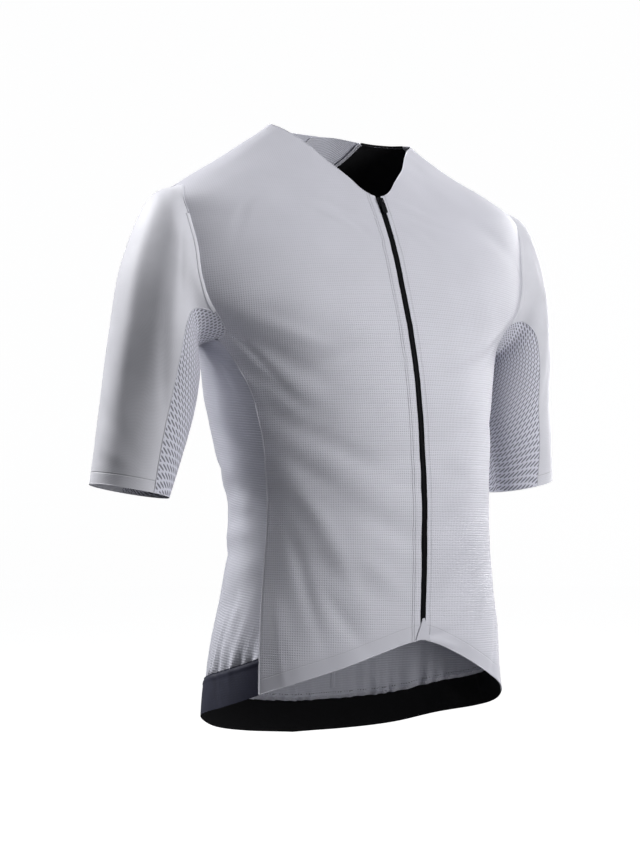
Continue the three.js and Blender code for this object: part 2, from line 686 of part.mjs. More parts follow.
// The pull: a pin through the bail, two arms beside it and the tab below.
function pull() {
  const { width, length, thick, arm, slot, neck, head, corner } = PULL;
  const inner = BAIL.width / 2 + LAYER_GAP;
  const outer = inner + arm;
  const half = width / 2;
  const bevel = head / 3;
  const turn = 360 / PIN.sides;
  const round = arc(0, 0, PIN.radius, PIN.radius, 0, 360 - turn, PIN.sides - 1);
  const pinBar = sideways(round, 2 * (inner + PIN.into));
  const right = [
    [inner, -slot], [inner, head], [outer - bevel, head], [outer, bevel], [half, -neck],
    [half, -length + corner], [half - corner, -length],
  ];
  const left = [...right].reverse().map(([x, run]) => [-x, run]);
  const shape = new THREE.Shape([...right, ...left].map(([x, run]) => new THREE.Vector2(x, run)));
  const plate = new THREE.ExtrudeGeometry(shape, { depth: thick, bevelEnabled: false });
  plate.translate(0, 0, -thick / 2).rotateX(Math.PI / 2);
  return joined([plate, pinBar]);
}

// Puts a piece that is drawn at the zip's place of the slider, in line with the zip.
function atSlider(mesh, run, rise) {
  const here = body(0, SLIDER.z);
  const n = bodyNormal(0, SLIDER.z);
  const slope = Math.atan2(n.z, -n.y);
  const place = new THREE.Group();
  place.position.copy(here);
  place.rotation.x = -slope;
  mesh.position.set(0, -rise, run);
  place.add(mesh);
  return place;
}

function buildJersey() {
  const jersey = new THREE.Group();
  [["right", -1], ["left", 1]].forEach(([word, side]) => {
    jersey.add(piece(`front_${word}`, front(side), CLOTH_FRONT));
    jersey.add(piece(`sleeve_${word}`, sleevePatch(side, SLEEVE_TURNS), CLOTH_SLEEVE));
    jersey.add(piece(`underarm_${word}`, sleevePatch(side, UNDERARM_TURNS), MESH_KNIT));
  });
  jersey.add(piece("back", back(), CLOTH_BACK));
  jersey.add(piece("hem_band", hemBand(), NAVY));
  jersey.add(piece("pocket_row", pocketRow(), CLOTH_BACK));
  jersey.add(piece("neck_facing", insideNeck(FACING), BLACK_TAPE));
  jersey.add(piece("neck_tape", insideNeck(NECK_TAPE), PALE_TAPE));
  jersey.add(piece("zip", zip(), BLACK_TAPE));
  jersey.add(piece("zip_garage", garage(), CLOTH_FRONT));
  jersey.add(atSlider(piece("zip_slider", slider(), BLACK_METAL), 0, 0));
  jersey.add(atSlider(piece("zip_pull", pull(), BLACK_METAL), PIN.run, PIN_RISE));
  return jersey;
}

export default buildJersey();
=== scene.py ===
# Short-sleeved cycling jersey, worn and hollow: cloth, seams, zip and studio.
# Tables of places are in millimetres and degrees; every mesh is made in metres.
import math

import bpy
import numpy as np
from bpy.props import FloatProperty, FloatVectorProperty, PointerProperty
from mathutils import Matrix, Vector


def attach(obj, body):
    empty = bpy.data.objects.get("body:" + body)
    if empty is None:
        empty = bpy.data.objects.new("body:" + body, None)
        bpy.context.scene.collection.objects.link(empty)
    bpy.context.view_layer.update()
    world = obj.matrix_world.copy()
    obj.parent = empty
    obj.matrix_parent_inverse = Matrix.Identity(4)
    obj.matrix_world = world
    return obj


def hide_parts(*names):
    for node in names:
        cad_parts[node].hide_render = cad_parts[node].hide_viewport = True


bl_info = {
    "name": "Cycling Jersey",
    "version": (1, 0, 0),
    "blender": (4, 5, 0),
    "location": "3D View > Sidebar > Jersey",
    "description": "Makes the cloth, seams, zip and studio of a short-sleeved cycling jersey",
    "category": "Add Mesh",
}

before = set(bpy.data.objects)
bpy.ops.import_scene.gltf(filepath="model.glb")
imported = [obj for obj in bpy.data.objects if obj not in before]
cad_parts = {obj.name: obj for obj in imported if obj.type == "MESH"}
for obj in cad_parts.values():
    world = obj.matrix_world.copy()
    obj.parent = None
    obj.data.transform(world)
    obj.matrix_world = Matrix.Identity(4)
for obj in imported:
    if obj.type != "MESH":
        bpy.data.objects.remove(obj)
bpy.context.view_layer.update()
BODY_NAME = "jersey"
MM = 0.001

# Body sections: height, half width, y of side, front and back, squareness of front and back.
BODY = [
    (-720, 192, -4, -131, 122, 2.15, 2.1),
    (-650, 189, -5, -131, 119, 2.15, 2.1),
    (-590, 180, -8, -132, 114, 2.15, 2.1),
    (-530, 169, -14, -134, 106, 2.15, 2.1),
    (-475, 161, -16, -136, 103, 2.15, 2.1),
    (-425, 160, -10, -136, 110, 2.15, 2.1),
    (-375, 167, -2, -133, 119, 2.15, 2.1),
    (-325, 176, 6, -128, 125, 2.15, 2.1),
    (-285, 184, 9, -122, 127, 2.15, 2.1),
    (-252, 195, 11, -115, 126, 2.15, 2.15),
    (-228, 213, 12, -109, 126, 2.15, 2.15),
    (-205, 235, 12, -102, 125, 2.15, 2.2),
    (-180, 247, 13, -94, 124, 2.15, 2.2),
    (-147, 250, 13, -83, 122, 2.2, 2.2),
    (-115, 250, 14, -69, 117, 2.3, 2.2),
    (-90, 242, 15, -56, 110, 2.4, 2.2),
    (-65, 207, 16, -42, 100, 2.2, 2.2),
    (-40, 165, 16, -27, 88, 1.9, 2.1),
    (-20, 133, 17, -14, 78, 1.7, 2),
    (0, 101, 19, 0, 69, 1.6, 2),
    (12, 88, 20, 6, 63, 1.6, 2),
]
# Heights of the neck edge and of the hem, by angle from the centre front.
NECK = [
    (0, -80), (1.4, -78), (7.7, -61), (21.4, -38), (35.5, -20), (51, -8), (70, -1), (90, 2),
    (115, 3), (145, 2), (180, 1),
]
HEM = [
    (0, -575), (3, -577), (18, -593), (29, -606), (47, -624), (65, -641), (75, -650), (90, -661),
    (119, -677), (140, -692), (160, -700), (180, -704),
]
# Angle of the side seam by height.
SIDE_SEAM = [
    (-660, 63), (-593, 67), (-529, 71.5), (-486, 73.5), (-420, 71.5), (-344, 67.5), (-295, 69),
    (-268, 72), (-244, 75),
]
BAND_HEIGHT, BAND_OVERLAP, BAND_THICKNESS = 42, 2.5, 1.0
SHOULDER_NECK_ANGLE = 112
HEM_CORNER_ANGLE = 64.2
NECK_CROWD, COLUMN_CROWD = 1.25, 0.0065
ZIP_OPENING = 8
ZIP_TOP, ZIP_BOTTOM = -84.5, -568
# Rows of the front's and back's grids: counts for band, side, gusset, armhole and shoulder.
FRONT_ROWS = (3, 11, 4, 10, 6)
BACK_ROWS = (0, 11, 4, 8, 6)
ROW_RISE = 18
ROWS_BY_HEIGHT = 0.4

# Armhole oval, and the turns of it where pieces have their corners.
ARM_TOP, ARM_BOTTOM, ARM_MIDDLE = -76, -244, 88
ARM_FRONT, ARM_BACK, ARM_FORWARD, ARM_POWER = 25.5, 24, 13, 2.5
SHOULDER_TURN, GUSSET_FRONT_TURN, SIDE_TURN, GUSSET_BACK_TURN = -30, 128, 180, 222
GUSSET_MIDDLE_TURN = 166
# The gusset on the sleeve: along, turns of its front and back edges.
GUSSET = [
    (0, 128, 222), (0.1, 123, 228), (0.35, 101, 246), (0.65, 88, 256), (0.8, 88, 256), (1, 97, 250),
]
# Sleeve rings: along, x, y, z, dip, reach, deep, bow.
RINGS = [
    (0.16, 232, 13, -174, 17, 86, 50, 13),
    (0.32, 246, 15, -214, 34, 69, 54, 8),
    (0.5, 252, 18, -262, 57, 56, 55, 3),
    (0.67, 257, 24, -312, 72, 52, 52, 0),
    (0.84, 266, 28, -362, 77, 48, 49, 0),
    (1, 276, 32, -411, 79, 44, 44, 0),
]
RINGS_ALONG = [0] + [ring[0] for ring in RINGS]

# Folds that the solids have too. Columns of this table and of the two tables of creases:
# angle or turn, height or share of the sleeve's length, length, width, depth, tilt.
FOLDS = [
    (52, -262, 120, 24, -3, 32), (44, -236, 90, 22, 2, 28), (58, -330, 90, 26, -2, 38),
    (24, -440, 120, 26, -1.6, 14), (36, -505, 110, 24, -1.8, 24), (60, -560, 90, 20, 1.6, 60),
    (104, -420, 110, 22, -2.2, -12), (112, -470, 120, 22, 1.8, -8), (128, -300, 120, 26, -2.2, -26),
    (150, -440, 130, 24, -2, -8), (168, -250, 100, 30, 1.6, 70), (40, -120, 80, 22, -1.6, -36),
]
# Finer creases and soft troughs (-) by side: 1 is the wearer's left, -1 the right, 0 both.
CREASES = {
    -1: [
        (62, -262, 95, 11, -1.3, 52), (70, -285, 70, 9, 0.9, 58), (55, -300, 120, 15, -1.5, 34),
        (36, -268, 120, 17, -1.6, -16), (30, -300, 80, 14, 0.7, -8), (40, -352, 110, 16, -1.5, 30),
        (30, -372, 70, 12, -0.8, 18), (47, -392, 90, 16, -1.4, 33), (52, -425, 80, 13, 0.8, 40),
        (14, -378, 70, 20, -1, -14), (9, -402, 60, 16, -0.9, 10), (12, -455, 90, 20, -1, 24),
        (20, -500, 80, 16, 0.8, 36), (40, -470, 150, 22, 1.2, 58), (50, -520, 120, 16, -1, 64),
        (34, -548, 90, 16, -0.9, 48), (58, -590, 70, 12, 0.8, 70), (44, -112, 46, 7, -1, -58),
        (10, -98, 34, 8, -0.8, 28), (13, -108, 30, 6, 0.6, 36), (7, -118, 40, 7, -0.5, 60),
        (5, -590, 26, 6, -0.7, 40), (122, -394, 120, 14, -1.2, -14), (138, -430, 110, 13, -1.3, -6),
        (158, -458, 90, 13, -1, 4), (150, -196, 100, 20, -1.2, 64), (128, -150, 80, 16, 0.9, 30),
    ],
    1: [
        (9, -96, 34, 8, 0.8, -34), (12, -106, 36, 7, -0.7, -22), (8, -126, 36, 7, 0.5, -50),
        (24, -276, 90, 16, -1, 20), (40, -262, 100, 14, -1.2, 44), (52, -290, 80, 11, -1, 52),
        (60, -262, 60, 9, 0.8, 60), (20, -345, 100, 18, -0.9, 22), (44, -360, 90, 14, -1.1, 34),
        (16, -395, 60, 14, -0.8, -20), (26, -420, 110, 17, -1, 26), (50, -440, 90, 13, 0.8, 46),
        (20, -498, 120, 22, -1.2, 40), (34, -540, 80, 15, 0.7, 52), (46, -585, 70, 12, -0.8, 62),
        (7, -568, 40, 7, -0.7, 8), (11, -580, 30, 6, 0.6, -14), (126, -408, 110, 13, -1.2, -12),
        (144, -446, 130, 15, -1.3, -2), (166, -424, 80, 13, 0.9, 6), (156, -214, 110, 20, -1.2, 70),
        (132, -168, 90, 16, 0.9, 26),
    ],
    0: [
        (84, -276, 90, 12, -1.1, 66), (80, -320, 80, 12, -0.9, 38), (92, -352, 110, 15, -1.2, 24),
        (98, -388, 90, 12, 0.9, 20), (86, -420, 70, 10, -0.9, 12), (96, -446, 100, 14, -1.3, 4),
        (104, -486, 110, 14, -1.1, -8), (88, -505, 70, 10, 0.8, -16), (94, -545, 90, 14, -0.9, -26),
        (84, -600, 60, 11, 0.9, 78), (92, -625, 60, 9, -0.9, 70), (118, -290, 130, 18, -1.4, -34),
        (132, -335, 110, 16, 1.1, -28), (146, -300, 90, 16, -1, -18), (172, -140, 110, 24, -1, 84),
        (112, -232, 70, 12, -1.2, 30),
    ],
}
SLEEVE_CREASES = {
    0: [
        (60, 0.45, 190, 46, -2.4, 84), (30, 0.4, 150, 30, 1.3, 80), (98, 0.3, 110, 22, 1.2, 74),
        (110, 0.62, 90, 18, -1, 70), (300, 0.3, 120, 26, -1.8, 76), (262, 0.24, 80, 16, -1.4, 50),
        (240, 0.5, 90, 18, -1.2, 64), (196, 0.16, 50, 10, -1, 80), (172, 0.42, 80, 14, 0.8, 84),
        (284, 0.84, 70, 14, -0.9, 16),
    ],
    -1: [
        (84, 0.16, 60, 12, -1.1, 52), (20, 0.78, 90, 18, -1, 20), (320, 0.62, 90, 20, 1.2, 84),
        (150, 0.12, 40, 8, -0.9, 64), (45, 0.9, 60, 12, 0.8, 10),
    ],
    1: [
        (78, 0.18, 60, 12, -1.1, 58), (10, 0.72, 80, 18, -0.9, -16), (330, 0.56, 90, 20, 1.2, 70),
        (156, 0.12, 40, 8, -0.9, 70), (60, 0.88, 60, 12, -0.8, 6),
    ],
}
CREASE_SCALE, SLEEVE_CREASE_SCALE = 1.7, 0.8
MM_PER_DEGREE, MM_PER_TURN = 2.7, 0.95
SLEEVE_LENGTH, SLEEVE_TOP = 262, (200, 14, -160)
# The neck and hem sit lower at the wearer's left; heights between which that fades.
NECK_LEAN, NECK_LEAN_FADE, HEM_LEAN, HEM_LEAN_FADE = 10, (-160, -30), 0.055, (-560, -330)


def smooth(x, low, high):
    t = np.clip((x - low) / (high - low), 0, 1)
    return t * t * (3 - 2 * t)


def signed_power(value, power):
    return np.sign(value) * np.abs(value) ** power


def cos_sin(degrees):
    return np.cos(np.radians(degrees)), np.sin(np.radians(degrees))


def unit(v):
    return v / np.maximum(np.linalg.norm(v, axis=-1, keepdims=True), 1e-9)


def paired(a, b):
    return np.broadcast_arrays(np.asarray(a, float), np.asarray(b, float))


def hermite(x, y, at):
    """Smooth cubic through values y given at x."""
    x, y = np.asarray(x, float), np.asarray(y, float)
    at = np.clip(np.asarray(at, float), x[0], x[-1])
    i = np.clip(np.searchsorted(x, at) - 1, 0, len(x) - 2)
    extra = (1,) * (y.ndim - 1)
    span = np.diff(x).reshape((-1,) + extra)
    slope = np.diff(y, axis=0) / span
    inner = (slope[:-1] * span[1:] + slope[1:] * span[:-1]) / (span[1:] + span[:-1])
    tangent = np.concatenate([slope[:1], inner, slope[-1:]])
    h = (x[i + 1] - x[i]).reshape(at.shape + extra)
    t = (at - x[i]).reshape(at.shape + extra) / h
    t2, t3 = t * t, t * t * t
    return ((2 * t3 - 3 * t2 + 1) * y[i] + (t3 - 2 * t2 + t) * h * tangent[i]
            + (3 * t2 - 2 * t3) * y[i + 1] + (t3 - t2) * h * tangent[i + 1])


def curve(rows, at):
    """The later columns of a table at a value of its first column."""
    table = np.array(sorted(rows), float)
    return np.moveaxis(hermite(table[:, 0], table[:, 1:], at), -1, 0)


def plain_body(angle, z):
    angle, z = paired(angle, z)
    width, side_y, front_y, back_y, front_power, back_power = curve(BODY, z)
    c, s = cos_sin(angle)
    power = 2 / np.where(c > 0, front_power, back_power)
    depth = np.where(c > 0, side_y - front_y, back_y - side_y)
    return np.stack([width * signed_power(s, power), side_y - depth * signed_power(c, power), z], -1)


def round_angle(angle):
    angle = np.abs(angle)
    return np.where(angle > 180, 360 - angle, angle)


def side_of(angle):
    """1 on the wearer's left of the body, -1 on the right."""
    return np.where(np.abs(angle) > 180, -np.sign(angle), np.sign(angle))


def strokes(rows, place, high, place_mm, high_mm=1):
    """Height of the soft lines of a table, each fading at its ends."""
    lift = 0.0
    for at, middle, length, width, depth, tilt in rows:
        c, s = cos_sin(tilt)
        across = ((place - at + 180) % 360 - 180) * place_mm
        up = (high - middle) * high_mm
        along, off = (across * c + up * s) / (length / 2), (up * c - across * s) / (width / 2)
        lift = lift + depth * np.exp(-along * along - off * off)
    return lift


def uneven(distance, waves):
    """A sum of waves of uneven length, from about -1 to 1."""
    return sum(np.sin(distance / length + shift) for length, shift in waves) / len(waves)


def crease_lift(angle, z):
    """Height of the fine creases on the body; none at the armholes, where sleeves join."""
    place, side = round_angle(angle), side_of(angle)
    lift = 0.35 * uneven(place * MM_PER_DEGREE + 0.4 * z, [(9, 1), (15, 2), (23, 0)])
    for on_side, rows in CREASES.items():
        share = (side == on_side) * smooth(180 - place, 0, 14) if on_side else 1
        lift = lift + CREASE_SCALE * share * strokes(rows, place, z, MM_PER_DEGREE)
    across = (place - ARM_MIDDLE) / ARM_FRONT
    up = (z - (ARM_TOP + ARM_BOTTOM) / 2) / ((ARM_TOP - ARM_BOTTOM) / 2)
    return lift * smooth(np.hypot(across, up), 1.05, 1.4)


def sleeve_lift(side, turn, along):
    """Height of the creases on a sleeve, fading at the armhole."""
    turn, along = turn[:, None], along[None, :]
    lift = 0.5 * uneven(turn * MM_PER_TURN + 80 * along, [(13, 0), (21, 2), (34, 1)])
    for on_side in (0, side):
        found = strokes(SLEEVE_CREASES[on_side], turn, along, MM_PER_TURN, SLEEVE_LENGTH)
        lift = lift + SLEEVE_CREASE_SCALE * found
    return lift * smooth(along, 0.0, 0.14)


def outward(point, u, v, step_u, step_v):
    du = point(u + step_u, v) - point(u - step_u, v)
    dv = point(u, v + step_v) - point(u, v - step_v)
    return unit(np.cross(du, dv))


def body(angle, z):
    """The cloth's outer surface at an angle round the body and a height."""
    p = plain_body(angle, z)
    lift = strokes(FOLDS, round_angle(angle), z, MM_PER_DEGREE)
    p = p + outward(plain_body, angle, z, 0.5, 1.5) * lift[..., None]
    x, z = p[..., 0], p[..., 2]
    hem = 1 - smooth(z, *HEM_LEAN_FADE)
    neck = smooth(x, 15, 95) * (1 - smooth(x, 120, 235)) * smooth(z, *NECK_LEAN_FADE)
    p[..., 2] = z - HEM_LEAN * x * hem - NECK_LEAN * neck
    return p


def hem_z(angle):
    return curve(HEM, round_angle(angle))[0]


def neck_z(angle):
    return curve(NECK, round_angle(angle))[0]


def armhole(turn):
    """Angle and height of the armhole's oval at a turn."""
    c, s = cos_sin(turn)
    forward = ARM_FORWARD * smooth(-c, 0, 1)
    reach = np.where(s > 0, ARM_FRONT - forward, ARM_BACK + forward)
    angle = 90 - forward - reach * signed_power(s, 2 / ARM_POWER)
    middle, half = (ARM_TOP + ARM_BOTTOM) / 2, (ARM_TOP - ARM_BOTTOM) / 2
    return angle, middle + half * signed_power(c, 2 / ARM_POWER)


SIDE_TOP = tuple(float(v) for v in armhole(SIDE_TURN))
SHOULDER_END = tuple(float(v) for v in armhole(SHOULDER_TURN))
HEM_CORNER_Z = float(hem_z(HEM_CORNER_ANGLE))
SHOULDER_NECK_Z = float(neck_z(SHOULDER_NECK_ANGLE))


def shoulder_line(share):
    """The shoulder seam from the armhole to the neck."""
    return (SHOULDER_END[0] + (SHOULDER_NECK_ANGLE - SHOULDER_END[0]) * share,
            SHOULDER_END[1] + (SHOULDER_NECK_Z - SHOULDER_END[1]) * share)


def side_seam(z):
    angle = curve(SIDE_SEAM, z)[0]
    to_top = SIDE_TOP[0] - curve(SIDE_SEAM, SIDE_TOP[1])[0]
    to_corner = HEM_CORNER_ANGLE - curve(SIDE_SEAM, HEM_CORNER_Z)[0]
    angle = angle + to_top * smooth(z, -300, SIDE_TOP[1])
    return angle + to_corner * (1 - smooth(z, HEM_CORNER_Z, -560))


def outer_edge(counts, turns, at):
    """A panel's outer edge at row numbers: band side, side seam, armhole, shoulder."""
    band, side, low, arm, shoulder = np.cumsum(counts)
    start, middle, end = turns
    band_top = HEM_CORNER_Z + BAND_HEIGHT
    z = np.interp(at, [0, band, side], [HEM_CORNER_Z if band else band_top, band_top, SIDE_TOP[1]])
    angle = side_seam(z)
    turn = np.interp(at, [side, low, arm], [start, middle, end])
    arm_angle, arm_z = armhole(turn)
    angle, z = np.where(at > side, arm_angle, angle), np.where(at > side, arm_z, z)
    on_ridge, share = at > arm, (at - arm) / (shoulder - arm)
    ridge_angle, ridge_z = shoulder_line(share)
    return np.where(on_ridge, ridge_angle, angle), np.where(on_ridge, ridge_z, z)


def centre_heights(counts, z, at, bottom, top):
    side, last = sum(counts[:2]), sum(counts)
    middle = SIDE_TOP[1] - ROW_RISE
    low, high = z[0], max(z)
    below = bottom + (middle - bottom) * (z - low) / (SIDE_TOP[1] - low)
    by_height = (z - SIDE_TOP[1]) / (high - SIDE_TOP[1])
    by_count = (at - side) / (last - side)
    above = middle + (top - middle) * (by_count + (by_height - by_count) * ROWS_BY_HEIGHT)
    return np.where(at <= side, below, above)


def front_angle(x, z):
    width, _, _, _, power, _ = curve(BODY, z)
    return np.degrees(np.arcsin((x / width) ** (power / 2)))


def relaxed(angle, z, rounds=120):
    """The same grid with its inner places moved to where no rows or columns cross."""
    g = np.stack([angle * MM_PER_DEGREE, z])
    for _ in range(rounds):
        across = (g[:, 1:-1, 2:] - g[:, 1:-1, :-2]) / 2
        down = (g[:, 2:, 1:-1] - g[:, :-2, 1:-1]) / 2
        corner = (g[:, 2:, 2:] - g[:, :-2, 2:] - g[:, 2:, :-2] + g[:, :-2, :-2]) / 4
        a, b, c = np.sum([down * down, across * down, across * across], axis=1)
        beside = g[:, 1:-1, 2:] + g[:, 1:-1, :-2]
        above = g[:, 2:, 1:-1] + g[:, :-2, 1:-1]
        g[:, 1:-1, 1:-1] = (a * beside + c * above - 2 * b * corner) / (2 * (a + c))
    return g[0] / MM_PER_DEGREE, g[1]


def spread(count, crowd, steps=3):
    """Evenly spaced values from 0 to count, with a few more close to both ends."""
    near = crowd * (np.arange(1, steps + 1) / steps) ** 1.5
    fine = np.concatenate([[0], near, count - near, [count]])
    pitch = crowd * 2
    even = np.linspace(crowd * 2, count - crowd * 2, int(round(count / pitch)))
    return np.unique(np.concatenate([fine, even]))


def half_panel(counts, crowd, turns, middle, lift, neck_crowd=1):
    """Places on half a panel: rows up from its hem, columns from its middle to its outer edge."""
    at, u = spread(sum(counts), crowd), spread(1, COLUMN_CROWD)
    edge = outer_edge(counts, turns, at)
    z = centre_heights(counts, edge[1], at, float(hem_z(middle)) + lift, float(neck_z(middle)))
    inner = np.full(len(z), float(middle)) if middle else front_angle(ZIP_OPENING / 2, z), z
    low = inner[0][0] + (edge[0][0] - inner[0][0]) * u
    high = inner[0][-1] + (SHOULDER_NECK_ANGLE - inner[0][-1]) * u ** neck_crowd
    v = (at / sum(counts))[:, None]
    grids = []
    for a, b, foot, head in zip(inner, edge, (low, hem_z(low) + lift), (high, neck_z(high))):
        sides = a[:, None] + (b - a)[:, None] * u
        grids.append(sides + (1 - v) ** 2 * (foot - sides[0]) + v * v * (head - sides[-1]))
    return grids


def front_places(side):
    turns = SIDE_TURN, GUSSET_FRONT_TURN, SHOULDER_TURN
    angle, z = relaxed(*half_panel(FRONT_ROWS, 0.16, turns, 0, 0, NECK_CROWD))
    return side * angle, z


def back_places():
    turns = SIDE_TURN, GUSSET_BACK_TURN, 360 + SHOULDER_TURN
    angle, z = half_panel(BACK_ROWS, 0.15, turns, 180, BAND_HEIGHT - BAND_OVERLAP)
    return np.hstack([angle[:, ::-1], 360 - angle[:, 1:]]), np.hstack([z[:, ::-1], z[:, 1:]])


def ring_turn(turn, along):
    front, back = curve(GUSSET, along)
    knots = [SHOULDER_TURN, GUSSET_FRONT_TURN, SIDE_TURN, GUSSET_BACK_TURN, 360 + SHOULDER_TURN]
    to = [SHOULDER_TURN, front, GUSSET_MIDDLE_TURN, back, 360 + SHOULDER_TURN]
    rounded = np.where(turn > 360 + SHOULDER_TURN, turn - 360, turn)
    return np.interp(rounded, knots, to)


def sleeve(side, turn, along):
    """Sleeve points for a list of turns (rows) and places along it (columns)."""
    angle, z = armhole(turn)
    rows = [body(side * angle, z)]
    for at, x, y, high, dip, reach, deep, bow in RINGS:
        (c, s), (level, steep) = cos_sin(ring_turn(turn, at)), cos_sin(dip)
        out, up = reach * c * steep + bow * s * s, reach * c * level
        rows.append(np.stack([side * (x + out), y - deep * s, high + up], -1))
    return np.transpose(hermite(RINGS_ALONG, np.array(rows), along), (1, 0, 2))


def normals_of(grid, centre):
    """Unit directions square to a grid of points, away from its centre."""
    n = unit(np.cross(np.gradient(grid, axis=0), np.gradient(grid, axis=1)))
    return n * np.sign(np.sum(n * (grid - centre)))


def arc_length(grid, axis):
    steps = np.linalg.norm(np.diff(grid, axis=axis), axis=-1)
    pad = [(1, 0), (0, 0)] if axis == 0 else [(0, 0), (1, 0)]
    return np.pad(np.cumsum(steps, axis=axis), pad)


def mesh_object(name, points, faces, finish, uvs=None, slots=None, sharp=50):
    """A mesh that rides on the jersey, from points in millimetres."""
    mesh = bpy.data.meshes.new(name)
    mesh.from_pydata((points * MM).tolist(), [], [list(face) for face in faces])
    for item in finish if isinstance(finish, list) else [finish]:
        mesh.materials.append(bpy.data.materials[item])
    if slots is not None:
        mesh.polygons.foreach_set("material_index", np.asarray(slots, np.int32))
    corners = np.empty(len(mesh.loops), np.int32)
    mesh.loops.foreach_get("vertex_index", corners)
    for layer, values in (uvs or {}).items():
        uv = mesh.uv_layers.new(name=layer)
        uv.data.foreach_set("uv", (values[corners] * MM).astype(np.float32).ravel())
    mesh.shade_smooth()
    mesh.set_sharp_from_angle(angle=math.radians(sharp))
    made = bpy.data.objects.new(name, mesh)
    bpy.context.collection.objects.link(made)
    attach(made, BODY_NAME)
    return made


def quads(a, b, c, d):
    return np.stack([a.ravel(), b.ravel(), c.ravel(), d.ravel()], -1)


def chosen(name):
    """A size set in the sidebar, in millimetres."""
    return getattr(bpy.context.scene.jersey_sizes, name) / MM


def wall(name, grid, normals, finish, thick=None, **uvs):
    """A closed sheet of cloth: its outer and inner grids and the rims between them."""
    thick = thick or chosen("cloth")
    rows, columns = grid.shape[:2]
    out = np.arange(rows * columns).reshape(rows, columns)
    outer = quads(out[:-1, :-1], out[:-1, 1:], out[1:, 1:], out[1:, :-1])
    rim = np.concatenate([out[0, :-1], out[:-1, -1], out[-1, :0:-1], out[:0:-1, 0]])
    after = np.roll(rim, -1)
    faces = np.vstack([outer, outer[:, [0, 3, 2, 1]] + out.size,
                       quads(after, rim, rim + out.size, after + out.size)])
    i, j = rows // 2, columns // 2
    turn = np.cross(grid[i, j + 1] - grid[i, j], grid[i + 1, j] - grid[i, j])
    if np.dot(turn, normals[i, j]) < 0:
        faces = faces[:, ::-1]
    points = np.vstack([grid.reshape(-1, 3), (grid - normals * thick).reshape(-1, 3)])
    slots = np.zeros(len(faces), int)
    slots[len(outer):] = isinstance(finish, list)
    uvs = {layer: np.vstack([uv.reshape(-1, 2)] * 2) for layer, uv in uvs.items()}
    return mesh_object(name, points, faces, finish, uvs, slots)


# Cloth that reaches past this angle is measured from the centre back.
BACK_FROM = 150
LOOK_ANGLES, LOOK_HEIGHTS = np.arange(0, 181, 2.0), np.arange(-720, 13, 4.0)
LOOK_GRID = plain_body(LOOK_ANGLES[:, None], LOOK_HEIGHTS[None, :])
ROUND_BODY, UP_BODY = arc_length(LOOK_GRID, 0), arc_length(LOOK_GRID, 1)


def look_up(values, angle, z):
    """A length known on a grid of angles and heights, read between them."""
    a = np.interp(angle, LOOK_ANGLES, np.arange(len(LOOK_ANGLES)))
    b = np.interp(z, LOOK_HEIGHTS, np.arange(len(LOOK_HEIGHTS)))
    i = np.minimum(a.astype(int), len(LOOK_ANGLES) - 2)
    j = np.minimum(b.astype(int), len(LOOK_HEIGHTS) - 2)
    s, t = a - i, b - j
    low, high = (values[i, k] * (1 - s) + values[i + 1, k] * s for k in (j, j + 1))
    return low * (1 - t) + high * t


def from_centre_back(angle, z):
    """Distance round the cloth from the centre back, less than 0 at the wearer's left."""
    place = round_angle(angle) + 0 * z
    run = look_up(ROUND_BODY, place, z) - look_up(ROUND_BODY, 180 + 0 * place, z)
    return run * np.where(side_of(angle) < 0, -1, 1)


def body_piece(name, angle, z, finish, lift, thick=None, **uvs):
    """Cloth on the body, creased and moved out by lift."""
    grid = body(angle, z)
    normals = normals_of(grid, grid * [0, 0, 1])
    grid = grid + normals * (crease_lift(angle, z) + lift)[..., None]
    place, side = round_angle(angle), np.where(side_of(angle) < 0, -1, 1)
    on_back = np.max(place) > BACK_FROM
    run = from_centre_back(angle, z) if on_back else look_up(ROUND_BODY, place, z) * side
    uvs["Cloth"] = np.stack([run, look_up(UP_BODY, place, z)], -1)
    return wall(name, grid, normals, finish, thick, **uvs)


def body_line(angle, z, lift=0.0):
    """Points and outward directions along a line on the creased body."""
    angle, z = paired(angle, z)
    n = outward(body, angle, z, 0.4, 1.2)
    return body(angle, z) + n * (crease_lift(angle, z) + lift)[..., None], n


def sleeve_line(side, turn, along, lift=0.0):
    """Points and outward directions along a line on a creased sleeve."""
    turn, along = paired(turn, along)
    found, directions = [], []
    for t, a in zip(turn, along):
        near = np.clip([a - 0.01, a, a + 0.01], 0, 1)
        patch = sleeve(side, np.array([t - 1, t, t + 1]), near)
        n = unit(np.cross(patch[2, 1] - patch[0, 1], patch[1, 2] - patch[1, 0]) * side)
        rise = float(sleeve_lift(side, np.array([t]), np.array([a]))[0, 0]) + lift
        found.append(patch[1, 1] + n * rise)
        directions.append(n)
    return np.array(found), np.array(directions)


def across_of(points, normals):
    return unit(np.cross(np.gradient(points, axis=0), normals))


def ribbon_profile(width, rise, sunk=0.3):
    """Section of a flat tape: rounded above, sunk a little into the cloth."""
    c, s = cos_sin(np.linspace(0, 180, 7))
    top = np.stack([width / 2 * c, rise * np.maximum(s, 0) ** 0.6], -1)
    return np.vstack([top, (-width / 2, -sunk), (width / 2, -sunk)])


def cord_profile(radius, lift=0.0):
    c, s = cos_sin(np.arange(0, 360, 60))
    return np.stack([radius * c, radius * s + lift], -1)


